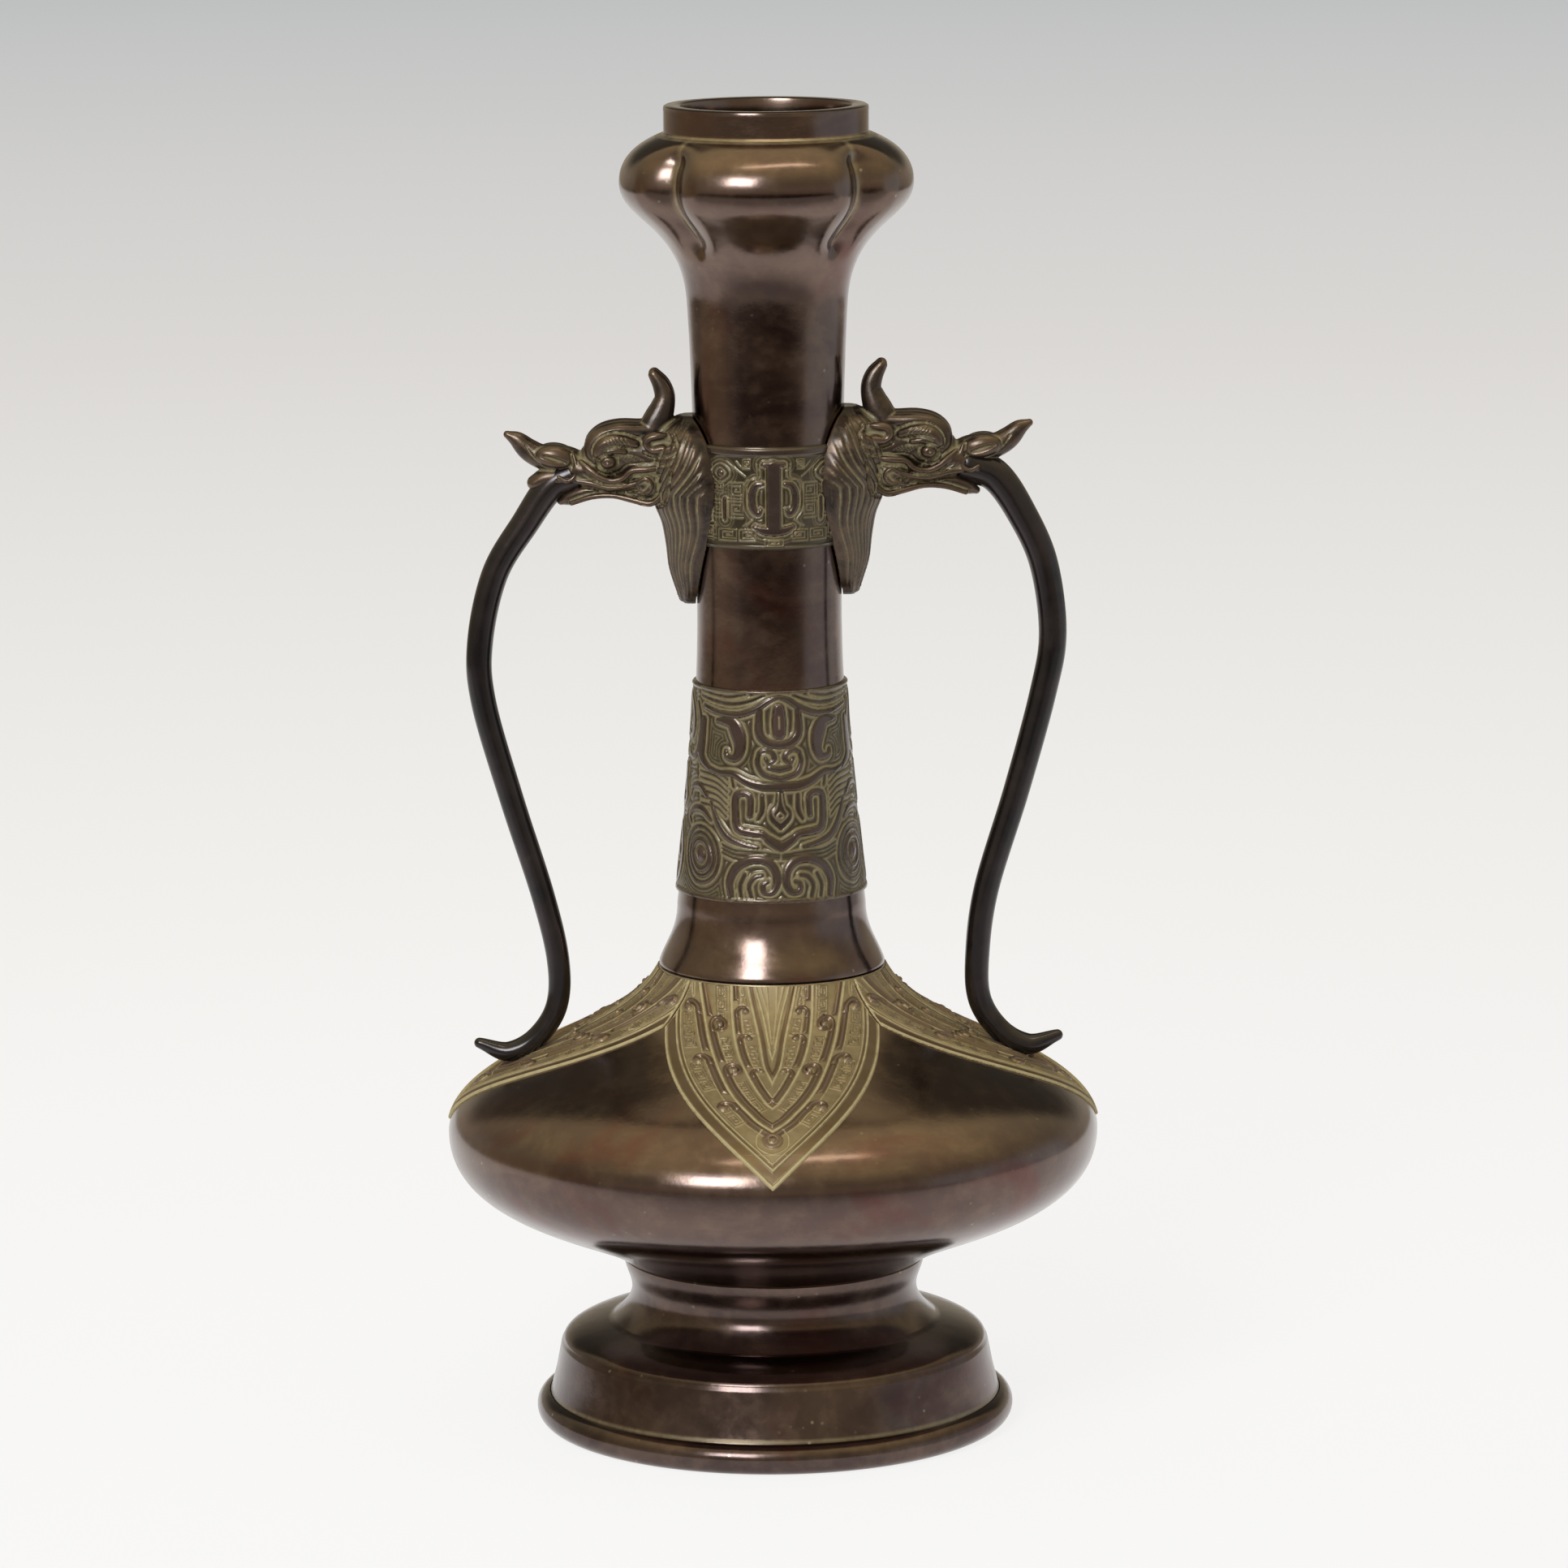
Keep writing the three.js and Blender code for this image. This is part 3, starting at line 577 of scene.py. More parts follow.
def halfway(first, second):
    """The colour midway between two."""
    return tuple(0.5 * (a + b) for a, b in zip(first, second))


def bronze(name, base, lighter, residue, roughness=0.14, stain_rough=0.35, specks=0.0,
           cloud_scale=20.0, metallic=1.0, coat=0.3, coat_rough=0.16, worn=0.0, cloud=1.0,
           blush=0.0):
    """Patinated bronze: cloudy brown, with residue where a piece is marked as stained."""
    material, start = empty_material(name)
    place = start.node("ShaderNodeTexCoord", out="Object")
    stain = start.node("ShaderNodeAttribute", {"attribute_name": "stain"}, out="Fac")
    raised = start.node("ShaderNodeAttribute", {"attribute_name": "raised"}, out="Fac")

    # Clouds lie level round the vase, and the polishing strokes run round it
    level = place.drawn_out(1.0, 1.0, 2.2)
    brushed = place.drawn_out(1.0, 1.0, 16.0)
    clouds = level.noise(cloud_scale, 5.0, 0.6, 0.9).between(0.38, 0.66)
    grain = place.noise(900.0, 2.0)
    strokes = brushed.noise(55.0, 3.0, 0.6)
    mottle = place.noise(140.0, 4.0, 0.65).between(0.4, 0.7)
    colour_now = (clouds * 0.6 * cloud + mottle * 0.4 * cloud).blend(base, lighter)
    if blush:
        red = tuple(part * c for part, c in zip((1.15, 0.62, 0.58), base))
        warmth = place.noise(26.0, 3.0, 0.6, 0.5).between(0.55, 0.7) * blush
        colour_now = warmth.blend(colour_now, red)
    if worn:
        bright = tuple(min(1, 1.15 * c) for c in lighter)
        colour_now = (raised * 1.4 * worn).limited().blend(colour_now, bright)
    patches = (stain * (0.4 + place.noise(420.0, 3.0) * 1.2)).limited()
    colour_now = patches.blend(colour_now, residue)
    if specks:
        values = {"Vector": place, "Scale": 230.0, "Randomness": 1.0}
        dots = place.node("ShaderNodeTexVoronoi", {"feature": "F1"}, values)
        few = place.noise(60.0, 2.0).between(0.52, 0.7)
        dust = (1 - dots.between(0.03, 0.16)) * few * specks
        colour_now = dust.limited().blend(colour_now, (0.42, 0.36, 0.28))
    rough = (roughness + clouds * 0.07 + mottle * 0.05 + patches * stain_rough).limited()
    crust = patches * place.noise(1500.0, 2.0) * 2.0
    bumps = grain * 0.4 + mottle * 0.6 + strokes * 0.2 + crust
    values = {"Strength": 0.2, "Distance": 0.00012, "Height": bumps}
    normal = start.node("ShaderNodeBump", None, values)
    metal = (1 - patches * 0.85) * metallic
    values = {
        "Base Color": colour_now, "Roughness": rough, "Normal": normal, "Metallic": metal,
        "Coat Weight": coat, "Coat Roughness": coat_rough, "IOR": 1.55, "Coat IOR": 1.5,
    }
    cover(start.node("ShaderNodeBsdfPrincipled", None, values))
    return material


def bronzes(which):
    """The vase's finishes, each made once."""
    made = bpy.data.materials.get(which)
    if made:
        return made
    finish = bpy.context.scene.vase_finish
    patina, warm, dark = tuple(finish.patina), tuple(finish.warm), tuple(finish.dark)
    residue, olive = tuple(finish.residue), tuple(finish.olive)
    plain, golden = tuple(finish.plain), tuple(finish.golden)
    dull = halfway(patina, dark)
    rubbed = halfway(patina, warm)
    bronze_brown = halfway(patina, golden)
    recipes = {
        "polished_brown": dict(base=patina, lighter=warm, residue=residue, roughness=0.15,
                               specks=1.0, blush=0.6),
        "band_relief": dict(base=darker(residue, 0.08), lighter=patina, residue=olive,
                            roughness=0.2, worn=0.7, cloud_scale=60.0, coat=0.5, metallic=0.8,
                            cloud=0.4, blush=0.4),
        "leaf_relief": dict(base=golden, lighter=warm, residue=residue, roughness=0.32, worn=0.4,
                            cloud_scale=60.0, coat=0.2, coat_rough=0.3, metallic=0.7, cloud=0.6),
        "dragon_brown": dict(base=dark, lighter=bronze_brown, residue=darker(residue, 0.46),
                             roughness=0.27, worn=0.8, cloud_scale=60.0, coat=0.25, metallic=0.8),
        "strap_black": dict(base=dark, lighter=dull, residue=residue, roughness=0.16, cloud=0.5,
                            metallic=0.7),
        "foot_brown": dict(base=dull, lighter=rubbed, residue=darker(residue, 0.6),
                           roughness=0.17, coat=0.2, specks=1.0, blush=0.5),
        "dull_plain": dict(base=plain, lighter=warm, residue=residue, roughness=0.45, coat=0.1),
    }
    return bronze(which, **recipes[which])


# Neck, body and foot


def lobe_share(angle, height, s):
    """Radius of the lobed bulb over its crest radius, at an angle from the front."""
    comes = (height - VALLEY_START) / VALLEY_COMES
    goes = (BULB_TOP - height) / VALLEY_GOES
    depth = s["valley_depth"] / s["bulb_radius"] * step_up(np.minimum(comes, goes), 0, 1)
    from_crest = np.abs(angle - QUARTER * np.round(angle / QUARTER))
    from_valley = (QUARTER / 2 - from_crest) / VALLEY_HALF_ANGLE
    from_valley = np.minimum(np.sqrt(from_valley**2 + VALLEY_ROUNDING), 1)
    return 1 - VALLEY_GAIN * depth * (1 - from_valley) ** 2


def neck_outline(s):
    """The neck's outside alone, and with its rim and bore as one closed outline."""
    collar, foot, top = s["collar_radius"], s["neck_foot_radius"], s["neck_top_radius"]
    bulb, rim, mouth, wall = s["bulb_radius"], s["rim_radius"], s["mouth_radius"], s["wall"]
    waist = s["neck_waist_radius"]
    outside = np.concatenate([
        [(collar - 0.4, SEAM), (collar, SEAM + 0.4)],
        bezier((collar, SEAM + 1), (collar - 1.9, SEAM + 6.3), (foot, SEAM + 10.3),
               (foot, NECK_FOOT_LEVEL), 24),
        lower_neck(s, 50)[1:],
        upper_neck(s, 50)[1:],
        bezier((top, BULB_START), (top + 1.2, 347), (bulb, 347.5), (bulb, BULB_LEVEL), 44)[1:],
        bezier((bulb, BULB_LEVEL), (bulb, 365.5), (rim + 7.1, 369.4),
               (rim + 1.3, BULB_TOP), 24)[1:],
        [(rim + 0.5, BULB_TOP + 0.15), (rim, BULB_TOP + 0.8), (rim, BULB_TOP + 1.3)],
        [(rim, TOP - 1.4), (rim, TOP - 0.9), (rim - 0.15, TOP - 0.3), (rim - 0.7, TOP)],
        [(mouth + 0.9, TOP), (mouth + 0.2, TOP - 0.3)],
    ])
    bore = [(mouth, TOP - 1), (mouth, BULB_TOP - 1.3)]
    hollow = np.concatenate([
        bezier((mouth, BULB_TOP - 1.3), (26, 366), (31.5, 364.5), (31.5, BULB_LEVEL), 8)[1:],
        bezier((31.5, BULB_LEVEL), (31.5, 350.5), (top - wall, 346),
               (top - wall, BULB_START), 10)[1:],
        [(waist - wall, WAIST_LEVEL), (foot - wall, 148), (foot - wall, SOCKET_TOP)],
        [(SOCKET_RADIUS, SOCKET_TOP), (SOCKET_RADIUS, SEAM)],
    ])
    return outside, np.concatenate([outside, bore, hollow])


class VASE_OT_neck(Operator):
    """Turns the neck and presses the bulb into four lobes"""

    bl_idname = "vase.neck"
    bl_label = "Neck and Bulb"

    def execute(self, context):
        s = sizes()
        outside, profile = neck_outline(s)
        piece = turned("neck_casting", profile)
        places = get_places(piece)
        radius = np.hypot(places[:, 0], places[:, 1])
        angle = np.arctan2(places[:, 0], -places[:, 1])
        height = places[:, 2]
        # The outside below the rim, and what of the casting lies on it
        below_rim = outside[outside[:, 1] < BULB_TOP + 1]
        skin = np.interp(height, below_rim[:, 1], below_rim[:, 0])
        lobed = (height > BULB_START) & (height < BULB_TOP + 0.1) & (radius > skin - 0.6)
        share = np.where(lobed, lobe_share(angle, height, s), 1.0)
        places[:, 0] *= share
        places[:, 1] *= share
        set_places(piece, places)
        # Residue along the floor of each valley and under the rim
        turn = angle - QUARTER * np.round(angle / QUARTER)
        valley = 1 - step_up((QUARTER / 2 - np.abs(turn)) * radius, 0.2, 1.5)
        fade = step_up(height, 340, 348)
        stain = 0.3 * lobed * valley * fade
        joint = 1 - step_up(np.abs(height - BULB_TOP), 0.2, 1.1)
        stain = np.maximum(stain, 0.45 * joint * (radius < 31.5) * (radius > 28))
        mark(piece, "stain", stain)
        shade(piece, 32)
        finished(piece, bronzes("polished_brown"), "polished_bronze", "neck")
        return {"FINISHED"}


def body_outline(s):
    """The closed outline of the body with its wall and both its spigots."""
    foot, belly, wall = s["body_foot_radius"], s["belly_radius"], s["wall"]
    under = bezier((foot, BODY_SEAT), (foot + 17.3, 61.3), (belly, 63.1), (belly, BELLY_LEVEL), 50)
    outside = np.concatenate([under, shoulder_line(90)[::-1][1:]])
    inside = moved(outside, wall)[::-3]
    inside = inside[(inside[:, 0] > 29.5) & (inside[:, 1] > BODY_SEAT + wall + 1)]
    return np.concatenate([
        [(FOOT_SPIGOT_BORE, FOOT_SPIGOT_END), (FOOT_SPIGOT_RADIUS, FOOT_SPIGOT_END)],
        [(FOOT_SPIGOT_RADIUS, BODY_SEAT)],
        outside,
        [(SPIGOT_RADIUS, SEAM - 0.3), (SPIGOT_RADIUS, SEAM + SPIGOT_RISE)],
        [(SPIGOT_BORE, SEAM + SPIGOT_RISE), (SPIGOT_BORE, SEAM - 5)],
        inside,
        [(FOOT_SPIGOT_BORE, BODY_SEAT + wall)],
    ])


class VASE_OT_body(Operator):
    """Turns the low round body"""

    bl_idname = "vase.body"
    bl_label = "Body"

    def execute(self, context):
        piece = turned("body_casting", body_outline(sizes()))
        places = get_places(piece)
        radius = np.hypot(places[:, 0], places[:, 1])
        seam = (1 - step_up(SEAM - places[:, 2], 0.5, 3.5)) * (radius > 30)
        mark(piece, "stain", 0.5 * seam)
        shade(piece, 32)
        finished(piece, bronzes("polished_brown"), "polished_bronze", "body")
        return {"FINISHED"}


class VASE_OT_foot(Operator):
    """Turns the stepped foot with its waist, skirt and bead"""

    bl_idname = "vase.foot"
    bl_label = "Foot"

    def execute(self, context):
        s = sizes()
        step, skirt, bead = s["step_radius"], s["skirt_radius"], s["bead_radius"]
        middle = BEAD_HEIGHT / 2
        turn = np.linspace(-0.5, 0.46, 22) * math.pi
        roll = np.stack([bead - 4.1 + 4.1 * np.cos(turn), middle + middle * np.sin(turn)], axis=1)
        profile = np.concatenate([
            [(61, 0.5), (61.5, 0)],
            roll,
            [(skirt + 0.35, BEAD_HEIGHT - 0.35), (skirt, BEAD_HEIGHT + 0.5)],
            [(skirt - 0.25, BEAD_HEIGHT + 1.4), (0.5 * skirt + 0.5 * step, 15.4)],
            [(step + 0.3, STEP_LEVEL - 1.2), (step + 0.1, STEP_LEVEL - 0.5)],
            bezier((step - 0.35, STEP_LEVEL + 0.1), (step - 0.6, STEP_LEVEL + 3),
                   (step - 7.5, STEP_LEVEL + 4.6), (step - 14, STEP_LEVEL + 5.8), 22),
            bezier((step - 14, 29.5), (36.6, 38.3), (42.8, 42.5),
                   (43.4, FOOT_TOP - 0.5), 28)[1:],
            [(43.1, FOOT_TOP), (FOOT_SOCKET_RADIUS, FOOT_TOP), (FOOT_SOCKET_RADIUS, PLATE_SEAT)],
            [(33.3, PLATE_SEAT)],
            [(45.5, 27), (58.5, 21.2), (61, BEAD_HEIGHT)],
        ])
        piece = turned("foot_casting", profile)
        places = get_places(piece)
        radius = np.hypot(places[:, 0], places[:, 1])
        groove = 1 - step_up(np.abs(places[:, 2] - BEAD_HEIGHT - 0.3), 0.2, 0.7)
        mark(piece, "stain", 0.5 * groove * (radius > 63) * (radius < skirt + 0.3))
        shade(piece, 32)
        finished(piece, bronzes("foot_brown"), "dark_bronze", "foot")
        return {"FINISHED"}


class VASE_OT_base_plate(Operator):
    """Turns the plate let into the foot from below"""

    bl_idname = "vase.base_plate"
    bl_label = "Base Plate"

    def execute(self, context):
        low, high, edge = 37.7, 40.7, 37.4
        profile = [(0, low), (30, low), (30.4, 38.1), (31, 38.1), (31.4, low), (edge - 0.5, low),
                   (edge, 38.2), (edge, high), (0, high)]
        piece = turned("base_plate_disc", profile, SPIN_STEPS // 2)
        shade(piece, 32)
        finished(piece, bronzes("dull_plain"), "plain_bronze", "base_plate")
        return {"FINISHED"}


# Relief bands and leaves


def band_places(relief, low, high, columns):
    """Rows of points round the neck: the relief outside and a plain wall inside."""
    s = sizes()
    heights = relief.level
    plain = neck_radius(heights)
    radius = plain[None, :] + s["band_rise"] + relief.height
    inner = neck_radius(np.array([high, low])) - 0.6
    radius = np.hstack([radius, np.tile(inner, (columns, 1)), radius[:, :1]])
    level = np.concatenate([heights, [high, low], heights[:1]])
    angle = np.linspace(0, TAU, columns)
    x = radius * np.sin(angle)[:, None]
    y = -radius * np.cos(angle)[:, None]
    z = np.tile(level, (columns, 1))
    return np.stack([x, y, z], axis=2)


def band_grid(low, high, columns, rows, turned_by):
    """A drawing ground round the neck, folded so that front, back, left and right match."""
    angle = np.linspace(0, TAU, columns)[:, None] - math.radians(turned_by)
    level = np.linspace(low, high, rows)[None, :]
    folded = np.abs((angle + math.pi / 2) % math.pi - math.pi / 2)
    reach = neck_radius(level)
    relief = Relief(folded * reach + 0 * level, level - low + 0 * angle)
    relief.level = level[0]
    relief.low = low
    return relief


def seen_from_front(relief, places):
    """Places drawn as seen from the front, laid round the neck: across, up and half-width."""
    made = []
    for across, up, width in places:
        radius = float(neck_radius(relief.low + up))
        made.append((radius * math.asin(min(across / radius, 0.999)), up, width))
    return made


def band_piece(name, relief, low, high, columns):
    """Closes a chased band over a plain wall and fixes it to the neck."""
    edge = np.minimum(relief.level - low, high - relief.level)[None, :]
    relief.height = np.where(edge < 0.2, np.minimum(relief.height, 0.25), relief.height)
    places = band_places(relief, low, high, columns)
    piece = wrapped(name, places, relief.marks(relief.stain, 3))
    shade(piece, 60)
    finished(piece, bronzes("band_relief"), "polished_bronze")
    return piece


class VASE_OT_mask_band(Operator):
    """Chases the animal mask, its eyes, scrolls and draped cloth round the lower neck"""

    bl_idname = "vase.mask_band"
    bl_label = "Mask Band"

    def execute(self, context):
        low, high = MASK_BAND
        columns = 521
        relief = band_grid(low, high, columns, rows=185, turned_by=6.5)

        def front(points, height, soft=0.55, **how):
            relief.ridge(seen_from_front(relief, points), height, soft, **how)

        # Draped cloth under the upper edge
        front([(0, 58.2, 0.5), (2.5, 57.4, 0.8), (6, 55, 0.9), (10.5, 53.1, 0.9), (15, 53, 0.8),
               (19, 54.4, 0.7)], 0.55)
        front([(4, 58.7, 0.3), (8, 57, 0.4), (12.5, 56, 0.45), (16.5, 56.4, 0.4),
               (19.5, 57.4, 0.3)], 0.35)
        front([(9, 59, 0.3), (13, 58, 0.35), (17, 58.3, 0.3), (19.5, 59, 0.25)], 0.3)
        # Tongue inside its loop
        front([(0, 55, 1.5), (0, 51.5, 1.9), (0, 48, 1.8)], 0.7, soft=0.6)
        front([(5.3, 54.6, 0.8), (5.5, 51, 1.0), (5.2, 47.4, 1.15), (3.2, 45.3, 1.15),
               (0, 44.6, 1.1)], 0.5)
        # Blades beside the tongue, hooked at their lower ends
        front([(16, 50.9, 0.7), (12.6, 50.6, 1.7), (11.2, 48, 2.2), (10.6, 45, 1.8),
               (10.8, 42.4, 1.4), (12, 40.6, 1.1), (14, 41, 0.8), (14.2, 42.6, 0.5)], 0.55)
        front([(19.3, 50.5, 1.2), (20, 45, 1.9), (20.2, 40, 1.6), (18.4, 36.8, 0.8)], 0.5)
        # Nose with its two curls
        front([(5.6, 42.4, 0.5), (6, 39.4, 0.6), (4.4, 36.4, 0.7), (0, 35, 0.75)], 0.5)
        front([(5.4, 42.6, 0.5), (3.9, 43.3, 0.65), (2, 42.4, 0.65), (1.5, 40.6, 0.6),
               (3, 39.7, 0.55), (3.8, 40.9, 0.4)], 0.6)
        front([(0, 37.7, 0.9), (2.8, 38.2, 0.7)], 0.45)
        # Smooth brow with its side spikes
        front([(0, 32.9, 1.3), (5, 33, 1.3), (9, 34.2, 1.1), (12.5, 36.2, 0.9), (16, 36.2, 0.8),
               (19, 37.6, 0.6)], 0.45)
        front([(12.9, 35.4, 0.35), (12.5, 32.6, 0.35)], 0.5)
        # Squared hooks
        front([(8.3, 24.6, 0.75), (8.3, 30.2, 0.85), (11.6, 30.4, 0.95), (12.1, 26, 1.05),
               (11.6, 20.9, 1.1), (8, 19.8, 1.1), (5, 19.4, 1.0),
               (3.2, 17.8, 0.8)], 0.55, fineness=3)
        front([(4.9, 30.4, 0.5), (5, 26.2, 0.55), (6.2, 23.6, 0.4)], 0.4)
        # Bell and the point under it
        front([(0, 31.2, 0.9), (0, 28.4, 1.3), (0, 26.4, 2.0), (0, 24.8, 3.1), (0, 23.2, 2.0),
               (0, 21.4, 0.7)],
              0.35, curved=False)
        front([(3.4, 18.0, 1.2), (1.8, 16.9, 1.3), (0, 15.9, 1.5)], 0.5)
        # Locks of hair drawn in towards the point
        front([(18.2, 27.5, 0.5), (16.6, 22, 0.9), (14.4, 18.4, 1.0), (11, 16.7, 0.8),
               (6.5, 15.7, 0.5)], 0.5)
        for lift in (0, 1.15, 2.3):
            front([(0.5, 13.6 - lift * 0.5, 0.22), (6, 14.3 - lift * 0.8, 0.28),
                   (12, 14.6 - lift, 0.3), (15.6, 16 - lift, 0.3)], 0.26)
        for lift in range(7):
            front([(14.6 - 0.1 * lift, 24 + 1.75 * lift, 0.22), (17, 26.4 + 1.75 * lift, 0.28),
                   (20.5, 27 + 1.8 * lift, 0.25)], 0.24)
        # Scrolls at the lower edge
        front([(13.8, 1.8, 0.9), (14, 6, 1.1), (12, 10, 1.2), (8, 12.2, 1.25), (4, 11.8, 1.2),
               (1.7, 9.2, 1.1), (1.3, 5.8, 1.0), (2.6, 3.2, 0.9), (4.8, 3.2, 0.8),
               (5.2, 5.2, 0.65), (3.9, 6, 0.5)], 0.55)
        front([(8.4, 1.6, 0.5), (8.9, 4.8, 0.55), (7.4, 7.2, 0.55), (5.4, 7.8, 0.5)], 0.4)
        front([(11.1, 1.6, 0.45), (11.3, 4.8, 0.5), (10, 8, 0.45)], 0.3)
        # Round eyes with their rings
        eye_x, eye_up = 25.0, 12.4
        turn = np.linspace(0, TAU, 25)
        for ring, width, rise in ((7.9, 0.5, 0.4), (6.1, 0.55, 0.45), (4.2, 0.8, 0.6)):
            across, up = eye_x + ring * np.cos(turn) * 0.86, eye_up + ring * np.sin(turn)
            relief.ridge([(x, z, width) for x, z in zip(across, up)], rise, curved=False)
        relief.boss(eye_x, eye_up, 2.1, 2.5, 0.95)
        relief.ridge([(21, 22.6, 0.5), (24, 25, 0.9), (28, 25, 0.9), (31, 22.6, 0.7),
                      (30, 20.8, 0.5)], 0.5)
        relief.ridge([(22.6, 29, 0.7), (25.6, 31.6, 0.9), (29.4, 31, 0.8), (30.6, 28.4, 0.5)], 0.5)
        # Scrolls between the front and the back mask
        relief.ridge([(33, 56.8, 0.7), (30.2, 53, 1.0), (29.6, 48, 1.2), (31.6, 44.6, 1.0),
                      (33.2, 46, 0.7)], 0.55)
        relief.ridge([(27, 55, 0.6), (25.4, 50, 0.9), (26, 44, 1.0), (28.6, 39.6, 0.9),
                      (32, 39.4, 0.8), (33, 41.6, 0.5)], 0.5)
        relief.ridge([(34.4, 36.6, 0.7), (35.4, 32, 1.0), (34, 28, 1.0), (36.2, 25.2, 0.9),
                      (38, 27, 0.6)], 0.55)
        relief.ridge([(40.6, 2.6, 0.9), (37.4, 6, 1.1), (36, 12, 1.2), (37.4, 18, 1.1),
                      (40.2, 20.6, 0.9)], 0.55)
        relief.boss(39.6, 11.5, 1.6, 2.4, 0.7)
        relief.follow_lines(0.95, 0.26, reach=6, outline=0.75)
        # Pale lines inside the bell, the hooks' point and the tongue
        for line in ([(0.5, 31), (0.7, 28.4), (1.2, 26.6), (2.0, 24.9), (0, 22.8)],
                     [(0, 25.6), (0.9, 24.5), (0, 23.7)],
                     [(0, 14.2), (2.4, 15.2), (4.8, 16.8)],
                     [(0, 52.6), (0, 49.4)]):
            relief.groove(seen_from_front(relief, [(x, up, 0.36) for x, up in line]), -0.2, 0.85)
        # Smooth lips at both edges
        up = relief.y
        top_lip = 1 - step_up(np.abs(up - 59.5), 0.3, 0.7)
        foot_lip = 1 - step_up(np.abs(up - 0.5), 0.4, 0.9)
        relief.height = np.maximum(relief.height, 0.55 * np.maximum(top_lip, foot_lip))
        relief.stain *= 1 - 0.5 * np.maximum(top_lip, foot_lip)
        relief.height -= 0.2
        band_piece("mask_band", relief, low, high, columns)
        return {"FINISHED"}


class VASE_OT_fret_band(Operator):
    """Chases the fret band with its smooth upright bars between the dragons"""

    bl_idname = "vase.fret_band"
    bl_label = "Fret Band"

    def execute(self, context):
        low, high = FRET_BAND
        columns = 561
        relief = band_grid(low, high, columns, rows=118, turned_by=4)

        def front(points, height, **how):
            relief.ridge(seen_from_front(relief, points), height, **how)

        front([(0, 23.5, 1.9), (0, 7, 1.9)], 0.6, soft=0.3, curved=False)
        front([(0, 24.3, 0.75), (2.7, 24.4, 0.65)], 0.6, curved=False)
        front([(0, 5.2, 1.2), (3, 5.6, 1.1), (5.2, 6.6, 0.6)], 0.6)
        front([(3.2, 18.8, 0.6), (5, 18.2, 0.85), (5.9, 15.6, 0.95), (5.7, 12.2, 0.95),
               (4.4, 10.3, 0.75), (3.6, 11.4, 0.5)], 0.5)
        front([(13.1, 14.4, 0.5), (13.1, 8.6, 0.5)], 0.4, curved=False)
        front([(16.8, 14, 0.6), (16.8, 8.2, 0.6)], 0.4, curved=False)
        front([(14.2, 19.3, 0.35), (12.2, 21.6, 0.35), (14.2, 23.8, 0.35), (16, 21.6, 0.35),
               (14.2, 19.3, 0.35)], 0.4)
        eye = seen_from_front(relief, [(14.2, 21.6, 1)])[0]
        relief.boss(eye[0], eye[1], 1.15, 1.15, 0.7)
        relief.follow_lines(0.9, 0.12, reach=2.2, outline=0.5)

        def fine(points, curved=False):
            relief.groove(seen_from_front(relief, points), -0.26, 0.85, curved)

        for out in (0, 0.8):
            fine([(3.8 + out, 24.4, 0.3), (3.9 + out, 20.6, 0.3), (6.6 + out, 19.6, 0.3),
                  (7.4 + out, 16.6, 0.3), (7.2 + out, 11.5, 0.3),
                  (5.6 + out, 8.9 - 0.4 * out, 0.3), (7.6 + out, 6.9, 0.3)], True)
        fine([(12.8, 25.2, 0.35), (9.8, 22.6, 0.35), (7.6, 20.8, 0.3)], True)
        fine([(6.4, 25, 0.3), (8.4, 23.4, 0.3), (10.2, 25.2, 0.3)], True)
        # Square frets on the ground: middle, width and height
        for across, up, wide, tall in (
            (10.2, 16.8, 4.0, 4.6), (10.2, 11.4, 3.8, 4.6), (7.2, 4.2, 4.4, 3.2),
            (12.4, 4.2, 4.6, 3.2), (15.2, 17.6, 3.4, 3.4), (15.2, 11.6, 2.8, 5.0),
            (17.4, 5.2, 4.0, 4.4), (0, 2.2, 5.0, 1.8), (17.8, 21.6, 3.0, 4.0),
            (7.4, 24.4, 2.0, 2.6),
        ):
            fine([(across + (a - 0.5) * wide, up + (b - 0.5) * tall, 0.28) for a, b in fret(2)])
        for across in range(20, 36, 4):
            for up in (4.4, 9.6, 14.8, 20.4):
                spiral = [
                    (across + (a - 0.5) * 3.2, up + (b - 0.5) * 3.8, 0.28) for a, b in fret(2)
                ]
                relief.groove(spiral, -0.26, 0.85, False)
        relief.ridge([(0, 0.9, 0.22), (36, 0.9, 0.22)], 0.3, soft=0.15, curved=False)
        relief.ridge([(0, 27.7, 1.15), (36, 27.7, 1.15)], 0.45, soft=0.5, curved=False)
        relief.height -= 0.15
        band_piece("fret_band", relief, low, high, columns)
        return {"FINISHED"}


class LeafLine:
    """A line down one half of a leaf, through points of distance down it and half-width."""

    def __init__(self, *knots):
        path = smooth([(down, across, 0) for down, across in knots], 12)
        self.down, self.across = path[:, 0], path[:, 1]
        self.lean = np.gradient(self.across, self.down)

    def edge(self, y):
        """The line's distance from the middle of the leaf."""
        return np.interp(y, self.down, self.across)

    def outside(self, x, y):
        """How far points lie outside the line; negative inside."""
        return (x - self.edge(y)) / np.sqrt(1 + np.interp(y, self.down, self.lean) ** 2)

    def beside(self, y, out, down=0.0):
        """A point beside the line, given outwards and downwards along it."""
        lean = float(np.interp(y, self.down, self.lean))
        size = math.hypot(1, lean)
        return float(self.edge(y)) + (out + down * lean) / size, y + (down - out * lean) / size


def pointed(half_width, reach, power):
    """A leaf line that swells near the root and comes to a point."""
    slope = power * half_width / reach
    knots = [(share * reach, half_width * (1 - share**power)) for share in np.linspace(0, 1, 25)]
    return LeafLine(*knots, (reach + 20, -20 * slope))


